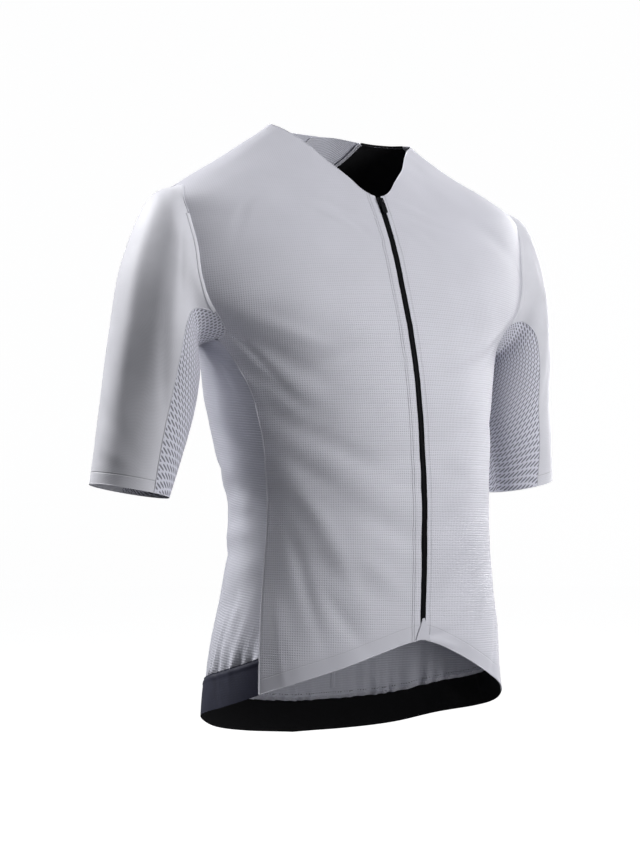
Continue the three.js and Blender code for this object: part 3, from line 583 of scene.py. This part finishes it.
def sweep(name, line, profile, finish, shift=0.0, closed=False):
    """A strip or cord along a line, its section given across and outward."""
    points, normals = line
    across = across_of(points, normals)
    points = points + across * shift
    ring = (points[:, None] + across[:, None] * profile[None, :, :1]
            + normals[:, None] * profile[None, :, 1:])
    rows, columns = ring.shape[:2]
    number = np.arange(rows * columns).reshape(rows, columns)
    after = np.roll(number, -1, axis=1)
    faces = quads(number[:-1], number[1:], after[1:], after[:-1]).tolist()
    if closed:
        faces += quads(number[-1:], number[:1], after[:1], after[-1:]).tolist()
    else:
        faces += [number[0].tolist(), number[-1][::-1].tolist()]
    run = arc_length(points[:, None], 0)
    steps = np.linalg.norm(np.diff(profile, axis=0, prepend=profile[:1]), axis=-1)
    uv = np.stack(np.broadcast_arrays(run, np.cumsum(steps)[None]), -1).reshape(-1, 2)
    turn = np.cross(ring[1, 0] - ring[0, 0], ring[0, 1] - ring[0, 0])
    if np.dot(turn, ring[0, 0] - points[0]) > 0:
        faces = [face[::-1] for face in faces]
    return mesh_object(name, ring.reshape(-1, 3), faces, finish, {"Cloth": uv}, sharp=60)


def resampled(line, pitch):
    """The same line with points a pitch apart."""
    run = arc_length(line[0][:, None], 0)[:, 0]
    at = np.arange(pitch / 2, run[-1], pitch)
    points, normals = (
        np.stack([np.interp(at, run, part[:, k]) for k in range(3)], -1) for part in line)
    return points, unit(normals)


# Corners of one stitch: shares of its length and width, and whether on top.
STITCH = [
    (0.5, 0, 0), (0.3, 0.5, 0), (-0.3, 0.5, 0), (-0.5, 0, 0), (-0.3, -0.5, 0), (0.3, -0.5, 0),
    (0.25, 0, 1), (-0.25, 0, 1),
]
STITCH_FACES = [
    (0, 1, 6), (1, 2, 7, 6), (2, 3, 7), (3, 4, 7), (4, 5, 6, 7), (5, 0, 6), (5, 4, 3, 2, 1, 0),
]
STITCH_SUNK = 0.25


def stitches(name, line, pitch, size, finish, turned=0.0, shift=0.0):
    """Separate small lozenges along a line; size is length, width and rise."""
    points, normals = resampled(line, pitch)
    across = across_of(points, normals)
    points = points + across * shift
    turned = np.radians(np.broadcast_to(turned, len(points)))[:, None]
    ahead = np.cross(normals, across) * np.cos(turned) + across * np.sin(turned)
    beside = np.cross(normals, ahead)
    length, width, rise = size
    corners = [points + ahead * length * a + beside * width * b
               + normals * (rise if top else -STITCH_SUNK) for a, b, top in STITCH]
    faces = [[first + corner for corner in face]
             for first in range(0, len(points) * len(STITCH), len(STITCH)) for face in STITCH_FACES]
    return mesh_object(name, np.stack(corners, 1).reshape(-1, 3), faces, finish, sharp=40)


def joined(name, parts):
    """Several pieces of one kind as a single piece."""
    bpy.ops.object.select_all(action="DESELECT")
    for part in parts:
        part.select_set(True)
    bpy.context.view_layer.objects.active = parts[0]
    bpy.ops.object.join()
    parts[0].name = name
    return parts[0]


# Finishes

def arithmetic(operation, reflected=False):
    def apply(self, other):
        return self.math(operation, *((other, self) if reflected else (self, other)))
    return apply


class Shade:
    """A number in a shader. Arithmetic on it adds Math nodes."""
    __add__, __radd__ = arithmetic("ADD"), arithmetic("ADD", True)
    __sub__, __rsub__ = arithmetic("SUBTRACT"), arithmetic("SUBTRACT", True)
    __mul__, __rmul__ = arithmetic("MULTIPLY"), arithmetic("MULTIPLY", True)
    __truediv__, __rtruediv__ = arithmetic("DIVIDE"), arithmetic("DIVIDE", True)
    __pow__, __rpow__ = arithmetic("POWER"), arithmetic("POWER", True)

    def __init__(self, finish, socket):
        self.finish, self.socket = finish, socket

    def math(self, operation, *values):
        return self.finish.node("ShaderNodeMath", {"operation": operation}, *values)

    def wave(self, length):
        """From 0 to 1 and back once in a length."""
        return self.math("SINE", self * (2 * math.pi / length)) * 0.5 + 0.5

    def fract(self):
        return self.math("FRACT", self)

    def floor(self):
        return self.math("FLOOR", self)

    def abs(self):
        return self.math("ABSOLUTE", self)

    def step(self, low, high):
        """0 below low, 1 above high, smooth between them."""
        settings = {"interpolation_type": "SMOOTHSTEP"}
        return self.finish.node("ShaderNodeMapRange", settings, self, low, high)

    def line(self, at, width):
        """1 on a thin line at a value, 0 away from it."""
        return 1 - (self - at).abs().step(width * 0.3, width)


class Finish:
    """A material and the nodes of its shader."""

    def __init__(self, name, **fixed):
        self.material = bpy.data.materials.new(name)
        self.material.use_nodes = True
        self.tree = self.material.node_tree
        self.shader = self.tree.nodes["Principled BSDF"]
        self.height = None
        for key, value in fixed.items():
            self.shader.inputs[key.replace("_", " ")].default_value = value

    def node(self, kind, settings, *values, output=0, **named):
        made = self.tree.nodes.new(kind)
        for key, value in settings.items():
            setattr(made, key, value)
        for key, value in [*enumerate(values), *named.items()]:
            socket = made.inputs[key]
            if isinstance(value, Shade):
                self.tree.links.new(value.socket, socket)
            elif value is not None:
                socket.default_value = value
        return Shade(self, made.outputs[output])

    def axes(self, where, *numbers):
        """Coordinates of a place, in millimetres."""
        made = self.node("ShaderNodeSeparateXYZ", {}, where).socket.node
        return [Shade(self, made.outputs[number]) * (1 / MM) for number in numbers]

    def places(self, layer):
        return self.axes(self.node("ShaderNodeUVMap", {"uv_map": layer}), 0, 1)

    def noise(self, scale, detail=2.0):
        """Uneven values about 0.5; scale is in lumps a metre."""
        where = self.node("ShaderNodeTexCoord", {}, output=3)
        return self.node("ShaderNodeTexNoise", {}, Vector=where, Scale=scale, Detail=detail)

    def cloudy(self, scale):
        return self.noise(scale, 3).step(0.3, 0.7)

    def tone(self, share, low, high):
        """Base colour between two colours."""
        values = share, *[None] * 5, low, high
        self.paint("Base Color", self.node("ShaderNodeMix", {"data_type": "RGBA"}, *values, output=2))

    def paint(self, socket, value):
        self.tree.links.new(value.socket, self.shader.inputs[socket])

    def bump(self, height, millimetres):
        made = self.node("ShaderNodeBump", {}, Height=height, Strength=1.0,
                         Distance=millimetres * MM, Normal=self.height)
        self.height = made
        self.paint("Normal", made)


def rgba(colour, scale=1.0):
    return tuple(min(1, c * scale) for c in colour[:3]) + (1.0,)


def front_knit(name, colour, pitch, seams):
    """Fine grid knit: small dark pits between yarns, plain at the hem, sewn lines beside the zip."""
    f = Finish(name, Roughness=0.6, Sheen_Weight=0.2, Sheen_Roughness=0.35)
    u, v = f.places("Cloth")
    hem, zip_side = f.places("Edges")
    slub = f.noise(90) * 1.2
    yarns = (u + slub).wave(pitch) * (v + slub).wave(pitch)
    rows = (v + slub * 2).wave(pitch * 2)
    chest = 1 - v.step(470, 620) * 0.75
    knit = hem.step(10, 34) * chest
    beside_zip = zip_side.line(seams[0], 0.7) + zip_side.line(seams[1], 0.7)
    grooves = hem.line(17, 0.8) * 0.35 + beside_zip * 0.8
    pits = yarns * knit
    f.bump(pits * -1 + rows * knit * -0.12, 0.3)
    f.bump(grooves * -1, 0.5)
    # The hem line and the sewn lines beside the zip are painted darker: painted shade in their grooves.
    light = 0.53 + knit * 0.35 - pits * 0.55 - rows * knit * 0.08 - grooves * 0.35
    f.tone(light - f.cloudy(25) * 0.06, rgba(colour, 0.62), rgba(colour, 1.1))
    f.paint("Roughness", 0.56 + pits * 0.2)


def rib_knit(name, colour, pitch):
    """Fine level ribs with uneven slubs."""
    f = Finish(name, Roughness=0.62, Sheen_Weight=0.2, Sheen_Roughness=0.35)
    u, v = f.places("Cloth")
    slub = f.noise(70) * 1.6
    ribs = (v + slub + u * 0.1).wave(pitch)
    beads = (u + slub).wave(pitch * 1.5)
    broken = ribs * (0.7 + beads * 0.3)
    f.bump(broken, 0.24)
    f.tone(0.45 + broken * 0.4 - f.cloudy(25) * 0.12, rgba(colour, 0.84), rgba(colour, 1.1))
    f.paint("Roughness", 0.68 - broken * 0.1)


def open_knit(name, colour, hole_shade, pitch):
    """Open knit: slanted dashes in rows set off by half a dash, painted dark as the shade seen through
    the holes.
    """
    f = Finish(name, Roughness=0.66, Sheen_Weight=0.15)
    u, v = f.places("Cloth")
    steep, easing = 1.3, 1.45 / 230
    rise = (v - (u - 30) * (steep - v * easing)) / (pitch * 1.3)
    along_row = (u + v * steep - v * v * (easing / 2)) / (pitch * 3.3)
    across = (along_row + rise.floor() * 0.5).fract() - 0.5
    up = rise.fract() - 0.5
    away = (across.abs() * 2.6) ** 4 + (up.abs() * 3.4) ** 2
    pit = 1 - away.step(0.6, 1.0)
    f.bump(pit * -1, 0.3)
    # The dashes mix towards a dark colour: painted shade of the inside seen through the holes.
    f.tone(pit * 0.8 + f.noise(900) * 0.25 - 0.1, rgba(colour, 1.1), rgba(hole_shade))
    f.paint("Roughness", 0.6 + pit * 0.25)


def smooth_cloth(name, colour):
    """Smooth stretch cloth with a faint grain and a soft shine."""
    f = Finish(name, Roughness=0.5, Sheen_Weight=0.25, Sheen_Roughness=0.35,
               Specular_IOR_Level=0.3)
    u, v = f.places("Cloth")
    hem = f.places("Edges")[0]
    grain = v.wave(1.7) * 0.6 + (u + v * 0.5).wave(1.3) * 0.4
    f.bump(grain, 0.05)
    cuff = hem.line(13, 0.9)
    f.bump(cuff * -1, 0.4)
    # The line of the bonded cuff band is painted darker: painted shade in its groove.
    light = 0.35 + grain * 0.3 + f.cloudy(30) * 0.3 - cuff * 0.5
    f.tone(light, rgba(colour, 0.86), rgba(colour, 1.08))
    f.paint("Roughness", 0.52 + grain * 0.12)


def woven(name, colour, pitch, shine=0.5, depth=0.15, sheen=0.1):
    """Close woven or knitted tape with a fine twill."""
    f = Finish(name, Roughness=shine, Sheen_Weight=sheen, Specular_IOR_Level=0.2 + sheen * 2)
    x, z = f.axes(f.node("ShaderNodeTexCoord", {}, output=3), 0, 2)
    twill = (x + z).wave(pitch) * z.wave(pitch)
    f.bump(twill, depth)
    f.tone(twill * 0.5 + f.noise(120, 3) * 0.5, rgba(colour, 0.75), rgba(colour, 1.3))
    f.paint("Roughness", shine + twill * 0.15)


def hard(name, colour, roughness, metallic):
    """Moulded coil or enamelled metal, a little worn."""
    f = Finish(name, Metallic=metallic, Coat_Weight=0.1 * metallic, Coat_Roughness=0.3,
               Specular_IOR_Level=0.04 + metallic * 0.38)
    worn = f.noise(900, 4).step(0.5, 0.8)
    f.tone(worn, rgba(colour), rgba(colour, 1.9))
    f.paint("Roughness", roughness + worn * 0.2)
    f.bump(f.noise(2200), 0.03)


def length_property(text, default, low=0.001, high=0.008):
    return FloatProperty(name=text, default=default, min=low, max=high, precision=5, unit="LENGTH")


def colour_property(text, default):
    return FloatVectorProperty(name=text, default=default, size=3, min=0, max=1, subtype="COLOR")


class JerseySizes(bpy.types.PropertyGroup):
    cloth: length_property("Thickness of the cloth", 0.0007, 0.0003, 0.0015)
    grid_pitch: length_property("Yarn spacing of the fronts", 0.0026)
    rib_pitch: length_property("Rib spacing of the back", 0.0029)
    dash_pitch: length_property("Row spacing of the underarm's holes", 0.0031)
    gather: length_property("Depth of the gathers above the band", 0.005, 0, 0.006)
    coil_pitch: length_property("Spacing of the zip's teeth", 0.0016, 0.001, 0.004)


class JerseyColours(bpy.types.PropertyGroup):
    front: colour_property("Grid knit of the fronts", (0.62, 0.62, 0.685))
    back: colour_property("Rib knit of the back", (0.60, 0.605, 0.68))
    sleeve: colour_property("Smooth cloth of the sleeves", (0.65, 0.65, 0.70))
    knit: colour_property("Open knit of the gussets", (0.62, 0.62, 0.70))
    # A dark colour for the open knit's holes: painted shade of the inside seen through them.
    hole_shade: colour_property("What shows in the open knit's holes", (0.12, 0.12, 0.15))
    navy: colour_property("Outside of the hem band", (0.022, 0.024, 0.046))
    # Black also stands on the hem band's inner face as painted shade.
    black: colour_property("Zip, facing and inside of the band", (0.005, 0.005, 0.006))
    tape: colour_property("Tapes inside the neck", (0.60, 0.60, 0.66))
    thread: colour_property("Seams and topstitching", (0.66, 0.66, 0.72))
    metal: colour_property("Zip slider and pull", (0.012, 0.012, 0.014))


class JERSEY_OT_finishes(bpy.types.Operator):
    """Make the materials of every piece"""
    bl_idname = "jersey.finishes"
    bl_label = "Finishes"

    def execute(self, context):
        colours = context.scene.jersey_colours
        front_knit("front knit", colours.front, chosen("grid_pitch"), (8.5, 11.5))
        front_knit("left front knit", colours.front, chosen("grid_pitch"), (5.5, -20))
        rib_knit("back knit", colours.back, chosen("rib_pitch"))
        open_knit("open knit", colours.knit, colours.hole_shade, chosen("dash_pitch"))
        smooth_cloth("sleeve cloth", colours.sleeve)
        woven("navy cloth", colours.navy, 1.8, 0.6, 0.06, 0.03)
        woven("black tape", colours.black, 1.6, 0.8, 0.2, 0.0)
        woven("pale tape", colours.tape, 1.8, 0.6, 0.2)
        woven("thread", colours.thread, 1.2, 0.5, 0.1)
        woven("dark thread", colours.black, 1.2, 0.6, 0.1)
        hard("coil", colours.black, 0.5, 0.0)
        hard("zip metal", colours.metal, 0.34, 0.6)
        return {"FINISHED"}


SIDES = (("right", -1), ("left", 1))


def sheet(node):
    """Hide the solid that a piece of cloth stands for."""
    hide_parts(node)


def paint_node(node, finish):
    """Give a solid that stays as it is the finish of its piece."""
    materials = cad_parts[node].data.materials
    materials.clear()
    materials.append(bpy.data.materials[finish])


class JERSEY_OT_fronts(bpy.types.Operator):
    """Make the two front panels"""
    bl_idname = "jersey.fronts"
    bl_label = "Front panels"

    def execute(self, context):
        for word, side in SIDES:
            angle, z = front_places(side)
            from_zip, above_hem = arc_length(body(angle, z), 1), z - hem_z(angle)
            pucker = 0.3 * uneven(z, [(3.1, 0), (5.3, 1), (8.9, 2)]) * np.exp(-from_zip / 9)
            pucker += 0.5 * uneven(from_zip, [(11, 0), (19, 1)]) * np.exp(-above_hem / 30)
            finish = "left front knit" if side > 0 else "front knit"
            made = body_piece(f"front_{word}_cloth", angle, z, finish, pucker,
                              Edges=np.stack([above_hem, from_zip], -1))
            sheet(f"front_{word}")
        return {"FINISHED"}


def gather_lift(angle, z):
    """Gathers where the back is drawn into the hem band: narrow valleys of uneven reach."""
    above = np.maximum(z - hem_z(angle) - BAND_HEIGHT, 0)
    run = from_centre_back(angle, z)
    turn = run / 2.5 + 1.5 * np.sin(run / 17) + 1.1 * np.sin(run / 9 + 1)
    valley = (0.5 + 0.5 * np.sin(turn)) ** 1.3 * (0.75 + 0.25 * np.sin(run / 29))
    slow = 0.5 + 0.5 * np.sin(run / 6.1 + np.sin(run / 23))
    reach = 13 + 24 * (0.5 + 0.5 * np.sin(run / 13 + 2))
    drawn = valley * np.exp(-above / reach) + 0.5 * slow * np.exp(-above / 26) + 0.1
    return -chosen("gather") * drawn


class JERSEY_OT_back(bpy.types.Operator):
    """Make the back and its hem band"""
    bl_idname = "jersey.back"
    bl_label = "Back and hem band"

    def execute(self, context):
        angle, z = back_places()
        made = body_piece("back_cloth", angle, z, "back knit", gather_lift(angle, z))
        sheet("back")
        rows = spread(BAND_HEIGHT, 1.0)
        half = 180 - side_seam(HEM_CORNER_Z + rows)[:, None]
        angle = 180 + np.linspace(-1, 1, 301)[None, :] * half
        z = hem_z(angle) + rows[:, None]
        from_top = rows - BAND_HEIGHT
        ridge = 0.7 * np.exp(-((from_top + 5) / 1.6) ** 2) - 0.5 * np.exp(-((from_top + 1) / 1.2) ** 2)
        wavy = 0.2 * uneven(from_centre_back(angle, z), [(7, 0), (12, 1), (19, 3)])
        # The band's inner face and rims take the black finish though the band is navy: painted shade
        # inside the hem.
        made = body_piece("hem_band_cloth", angle, z, ["navy cloth", "black tape"],
                          ridge[:, None] + wavy, BAND_THICKNESS)
        sheet("hem_band")
        return {"FINISHED"}


# The pocket row: angle of its side, height and fall of its top, foot against the band's top.
POCKET_FROM, POCKET_TOP, POCKET_DROP, POCKET_ABOVE_BAND = 132, -498, 10, -2.5
# How far it stands off the back: in the middle, at the foot and at the sides.
POCKET_LIFT, POCKET_FOOT, POCKET_SIDE = 2.1, -0.4, 0.7
POCKET_DIVIDERS = (164.5, 195.5)
SLACK_MIDDLE, SLACK_TOP = 1.4, 3.0
TOPSTITCH_PITCH, TOPSTITCH = 3.1, (2.3, 0.6, 0.35)


class JERSEY_OT_pockets(bpy.types.Operator):
    """Make the pocket row on the back"""
    bl_idname = "jersey.pockets"
    bl_label = "Pockets"

    def execute(self, context):
        u, v = spread(1, 0.004)[None, :] * 2 - 1, spread(1, 0.006)[:, None]
        angle = 180 + u * (180 - POCKET_FROM) + 0 * v
        low = hem_z(angle) + BAND_HEIGHT + POCKET_ABOVE_BAND
        z = low + (POCKET_TOP - POCKET_DROP * u * u - low) * v
        ends = (POCKET_FROM, *POCKET_DIVIDERS, 360 - POCKET_FROM)
        closed = smooth(1 - np.abs(u), 0, 0.09) * smooth(v, 0, 0.07)
        slack = sum(np.clip((angle - a) * (b - angle) * 4 / (b - a) ** 2, 0, 1)
                    for a, b in zip(ends, ends[1:]))
        sewn = POCKET_FOOT + (POCKET_SIDE - POCKET_FOOT) * smooth(v, 0.01, 0.05)
        lift = sewn + (POCKET_LIFT - sewn) * closed
        loose = SLACK_MIDDLE * np.sin(np.pi * v) + SLACK_TOP * smooth(v, 0.72, 1)
        lift = lift + slack * loose * closed - 0.5 * np.exp(-((v - 0.9) / 0.012) ** 2)
        made = body_piece("pocket_row_cloth", angle, z, "back knit", lift)
        sheet("pocket_row")
        around = np.linspace(POCKET_FROM + 1, 359 - POCKET_FROM, 260)
        fall = POCKET_DROP * ((around - 180) / (180 - POCKET_FROM)) ** 2
        rows = []
        for at in POCKET_DIVIDERS:
            height = np.linspace(float(hem_z(at)) + BAND_HEIGHT + 4, POCKET_TOP - 3, 60)
            rows += [(body_line(at, height, POCKET_LIFT), shift) for shift in (-1.2, 1.2)]
        rows.append((body_line(around, POCKET_TOP - fall - 14, POCKET_LIFT + 1.0), 0))
        joined("pocket_stitching", [
            stitches(f"pocket_line_{k}", line, TOPSTITCH_PITCH, TOPSTITCH, "thread", 0, shift)
            for k, (line, shift) in enumerate(rows)])
        return {"FINISHED"}


class JERSEY_OT_sleeves(bpy.types.Operator):
    """Make the sleeves and their underarm gussets"""
    bl_idname = "jersey.sleeves"
    bl_label = "Sleeves"

    def execute(self, context):
        along = spread(1, 0.006)
        centres = hermite(RINGS_ALONG, [SLEEVE_TOP] + [ring[1:4] for ring in RINGS], along)
        kinds = (
            ("sleeve", GUSSET_BACK_TURN, 360 + GUSSET_FRONT_TURN, "sleeve cloth", "sleeve_cloth",
             (0.36, 0.30), 0.058),
            ("underarm", GUSSET_FRONT_TURN, GUSSET_BACK_TURN, "open knit", "open_knit",
             (0.17, 0.25), 0.028),
        )
        for word, side in SIDES:
            for kind, start, end, finish, slot, flat, area in kinds:
                turn = start + spread(end - start, 1.0)
                grid = sleeve(side, turn, along)
                normals = normals_of(grid, (centres * [side, 1, 1])[None])
                grid = grid + normals * sleeve_lift(side, turn, along)[..., None]
                run = arc_length(grid, 0)
                from_cuff = arc_length(grid[:, ::-1], 1)[:, ::-1]
                made = wall(f"{kind}_{word}_cloth", grid, normals, finish,
                            Cloth=np.stack([run, arc_length(grid, 1)], -1),
                            Edges=np.stack([from_cuff, run], -1))
                sheet(f"{kind}_{word}")
        return {"FINISHED"}


# Turn of the armhole where its tape goes from the body to the sleeve.
TAPE_CHANGE = 66
# The facing's free edge inside the neck: angle at the top, how far it leans, depth.
FACING_FROM, FACING_EDGE, LEAN_POWER, FACING_DEPTH = 102, (145.5, 38), 0.8, 58


class JERSEY_OT_seams(bpy.types.Operator):
    """Make the seams, folded edges and topstitching"""
    bl_idname = "jersey.seams"
    bl_label = "Seams"

    def execute(self, context):
        side_z = np.linspace(HEM_CORNER_Z + 1, SIDE_TOP[1], 170)
        turns = np.linspace(0, 360, 181)
        neck = np.concatenate([np.linspace(1.6, 20, 24), np.linspace(21, 180, 120)])
        hem = np.linspace(1.8, HEM_CORNER_ANGLE, 150)
        shoulder, ridge_z = shoulder_line(np.linspace(0, 1, 60))
        arm_angle, arm_z = armhole(turns)
        upper, lower = turns <= TAPE_CHANGE, (turns >= TAPE_CHANGE - 8) & (turns <= GUSSET_FRONT_TURN)
        for word, side in SIDES:
            line = body_line(side * side_seam(side_z), side_z)
            joined(f"side_seam_{word}", [
                sweep(f"side_seam_{word}", line, ribbon_profile(1.5, 0.45), "thread"),
                stitches(f"side_stitches_{word}", line, 2.6, (2.4, 0.6, 0.6), "thread", 32)])
            points, normals = body_line(side * arm_angle, arm_z)
            sweep(f"armhole_seam_{word}", (points, normals), cord_profile(0.75), "thread")
            sweep(f"armhole_tape_body_{word}", (points[upper], normals[upper]),
                  ribbon_profile(4.6, 0.6), "sleeve cloth", -2.6 * side)
            sweep(f"armhole_tape_sleeve_{word}", sleeve_line(side, turns[lower], 0.012),
                  ribbon_profile(5.0, 0.9), "sleeve cloth")
            for end, turn in (("front", GUSSET_FRONT_TURN), ("back", GUSSET_BACK_TURN)):
                line = sleeve_line(side, turn, np.linspace(0.004, 0.996, 110))
                sweep(f"gusset_seam_{end}_{word}", line, cord_profile(0.65), "thread")
            line = sleeve_line(side, np.linspace(0, 358, 180), 0.998)
            sweep(f"cuff_edge_{word}", line, cord_profile(0.7, -0.4), "sleeve cloth", closed=True)
            points, normals = body_line(side * neck, neck_z(neck) - 0.3)
            bound = (neck > FACING_FROM) & (neck < FACING_EDGE[0]) & (side > 0)
            last = np.flatnonzero(bound)[0] + 1 if side > 0 else len(neck)
            line = points[:last], normals[:last]
            sweep(f"neck_edge_{word}", line, cord_profile(0.75, -0.3), "thread")
            if side > 0:
                line = points[bound], normals[bound]
                sweep("facing_edge", line, cord_profile(1.25, -0.7), "black tape")
            line = body_line(side * hem, hem_z(hem) + 0.3)
            sweep(f"front_hem_edge_{word}", line, cord_profile(0.7, -0.35), "front knit")
            line = body_line(side * shoulder, ridge_z)
            sweep(f"shoulder_seam_{word}", line, ribbon_profile(1.8, 0.4), "front knit")
        return {"FINISHED"}


class JERSEY_OT_inside(bpy.types.Operator):
    """Make the overlocked seam inside the hem, its stitching and the neck's tapes"""
    bl_idname = "jersey.inside"
    bl_label = "Inside"

    def execute(self, context):
        angle = np.linspace(HEM_CORNER_ANGLE + 2, 358 - HEM_CORNER_ANGLE, 1200)
        foot = hem_z(angle) + BAND_HEIGHT - BAND_OVERLAP

        def inner_line(angle, z, lift, gathered=True):
            """A line on the cloth's inside, its outward direction turned in."""
            drawn = gather_lift(angle + 0 * z, z) if gathered else 0
            points, normals = body_line(angle, z, drawn + lift)
            return points, -normals

        line = inner_line(angle, foot, -0.9)
        sweep("hem_overlock", line, ribbon_profile(3.6, 0.7), "pale tape")
        zigzag = 62 * (-1.0) ** np.arange(len(resampled(line, 1.3)[0]))
        stitches("hem_overlock_thread", line, 1.3, (4.4, 0.7, 1.2), "thread", zigzag)
        line = inner_line(angle, foot + 5.5, -0.75)
        stitches("hem_inner_stitching", line, 3.2, (2.2, 0.8, 0.35), "dark thread")
        for at in POCKET_DIVIDERS:
            height = np.linspace(float(hem_z(at)) + BAND_HEIGHT + 8, POCKET_TOP, 50)
            line = inner_line(at, height, -0.8)
            sweep(f"divider_tape_{at}", line, ribbon_profile(6.0, 0.9), "back knit")
        share = np.linspace(0, 1, 60)
        edge = FACING_EDGE[0] + FACING_EDGE[1] * share ** LEAN_POWER
        line = inner_line(edge, neck_z(edge) - 0.2 - FACING_DEPTH * share, -3.0, gathered=False)
        joined("facing_binding", [
            sweep(f"facing_roll_{k}", line, cord_profile(1.05, 0.5), "pale tape", shift)
            for k, shift in enumerate((-0.9, 1.0))])
        paint_node("neck_facing", "black tape")
        paint_node("neck_tape", "pale tape")
        return {"FINISHED"}


class JERSEY_OT_zip(bpy.types.Operator):
    """Make the zip's tape and coil, and finish its garage, slider and pull"""
    bl_idname = "jersey.zip"
    bl_label = "Zip"

    def execute(self, context):
        line = body_line(0.0, np.linspace(ZIP_BOTTOM, ZIP_TOP, 260))
        tape = sweep("zip_tape", line, ribbon_profile(27, 0.4, 0.4) - [0, 1.75], "black tape")
        rib = sweep("zip_rib", line, ribbon_profile(7.4, 1.0, 0.8) - [0, 1.1], "coil")
        rows = [stitches(f"zip_teeth_{word}", line, chosen("coil_pitch"), (4.3, 1.5, 0.45), "coil",
                         90 - 24 * side, 1.9 * side) for word, side in SIDES]
        made = joined("zip_coil", [tape, rib, *rows])
        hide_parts("zip")
        paint_node("zip_slider", "zip metal")
        paint_node("zip_pull", "zip metal")
        paint_node("zip_garage", "front knit")
        return {"FINISHED"}


# Camera from the photo's viewing angle: turn from the front, distance, height, lens, shifts.
CAMERA_TURN, CAMERA_DISTANCE, CAMERA_HEIGHT, CAMERA_LENS = -36, 2.5, -0.353, 91.79
CAMERA_SHIFT = (-0.0375, 0.0135)
# Soft lamps: name, place, aim, size, power.
LAMPS = [
    ("key", (1.35, -2.2, 0.4), (0.05, 0, -0.33), 0.9, 48),
    ("camera side", (-2.3, -1.5, 0.3), (-0.15, 0, -0.3), 1.4, 2.5),
    ("rear rim", (-1.5, 1.9, 1.3), (-0.15, 0, -0.3), 0.8, 96),
    ("top", (-0.5, -0.1, 2.2), (-0.05, 0, -0.1), 0.8, 27),
    ("right rim", (2.3, 0.7, 0.3), (0.2, 0, -0.35), 1.2, 50),
    ("low fill", (0.3, -1.5, -1.05), (0, 0.1, -0.6), 0.5, 5),
]
FLOOR_HEIGHT, ROOM_RADIUS = -1.1, 9.0
ROOM_LIGHT, ROOM_TINT = 0.1, (0.92, 0.94, 1, 1)
PAPER_GREY, PAPER_WHITE, PAPER_GLOW = (0.3, 0.3, 0.3, 1), (1, 1, 1, 1), 0.95


def place_towards(item, place, direction):
    item.location = place
    item.rotation_euler = direction.to_track_quat("-Z", "Y").to_euler()
    bpy.context.collection.objects.link(item)


class JERSEY_OT_studio(bpy.types.Operator):
    """Make the floor, backdrop, lamps and camera"""
    bl_idname = "jersey.studio"
    bl_label = "Studio"

    def execute(self, context):
        paper = Finish("studio paper", Roughness=0.9, Base_Color=PAPER_GREY,
                       Emission_Color=PAPER_WHITE, Emission_Strength=PAPER_GLOW)
        turns, rises = np.radians(np.arange(0, 360, 10)), np.radians(np.arange(-90, 91, 10))[:, None]
        round_it = np.stack([np.cos(rises) * np.cos(turns), np.cos(rises) * np.sin(turns),
                             np.sin(rises) + 0 * turns], -1)
        points = np.maximum(ROOM_RADIUS * round_it, [-ROOM_RADIUS, -ROOM_RADIUS, FLOOR_HEIGHT])
        number = np.arange(rises.size * turns.size).reshape(rises.size, -1)
        after = np.roll(number, -1, axis=1)
        faces = quads(number[:-1], after[:-1], after[1:], number[1:])
        mesh = bpy.data.meshes.new("paper room")
        mesh.from_pydata(points.reshape(-1, 3).tolist(), [], faces.tolist())
        mesh.materials.append(paper.material)
        mesh.shade_smooth()
        room = bpy.data.objects.new("paper room", mesh)
        context.collection.objects.link(room)
        room.visible_diffuse = room.visible_glossy = room.visible_shadow = False
        for name, place, aim, size, power in LAMPS:
            light = bpy.data.lights.new(name, "AREA")
            light.size, light.energy = size, power
            place_towards(bpy.data.objects.new(name, light), Vector(place), Vector(aim) - Vector(place))
        world = bpy.data.worlds.new("studio")
        world.use_nodes = True
        background = world.node_tree.nodes["Background"]
        background.inputs["Color"].default_value = ROOM_TINT
        background.inputs["Strength"].default_value = ROOM_LIGHT
        context.scene.world = world
        data = bpy.data.cameras.new("camera")
        data.lens, data.sensor_width = CAMERA_LENS, 36
        data.shift_x, data.shift_y = CAMERA_SHIFT
        turn = math.radians(CAMERA_TURN)
        back = Vector((math.sin(turn), -math.cos(turn), 0))
        camera = bpy.data.objects.new("camera", data)
        place_towards(camera, back * CAMERA_DISTANCE + Vector((0, 0, CAMERA_HEIGHT)), -back)
        context.scene.camera = camera
        context.scene.view_settings.view_transform = "Standard"
        return {"FINISHED"}


class JERSEY_PT_panel(bpy.types.Panel):
    bl_label = "Jersey"
    bl_space_type = "VIEW_3D"
    bl_region_type = "UI"
    bl_category = "Jersey"

    def draw(self, context):
        for operator in OPERATORS:
            self.layout.operator(operator.bl_idname)


OPERATORS = [
    JERSEY_OT_finishes, JERSEY_OT_fronts, JERSEY_OT_back, JERSEY_OT_pockets, JERSEY_OT_sleeves,
    JERSEY_OT_seams, JERSEY_OT_inside, JERSEY_OT_zip, JERSEY_OT_studio,
]
CLASSES = [JerseySizes, JerseyColours, *OPERATORS, JERSEY_PT_panel]


def register():
    for item in CLASSES:
        bpy.utils.register_class(item)
    bpy.types.Scene.jersey_sizes = PointerProperty(type=JerseySizes)
    bpy.types.Scene.jersey_colours = PointerProperty(type=JerseyColours)


def unregister():
    del bpy.types.Scene.jersey_colours
    del bpy.types.Scene.jersey_sizes
    for item in reversed(CLASSES):
        bpy.utils.unregister_class(item)


def main():
    register()
    for operator in OPERATORS:
        group, name = operator.bl_idname.split(".")
        getattr(getattr(bpy.ops, group), name)()


if __name__ == "__main__":
    main()
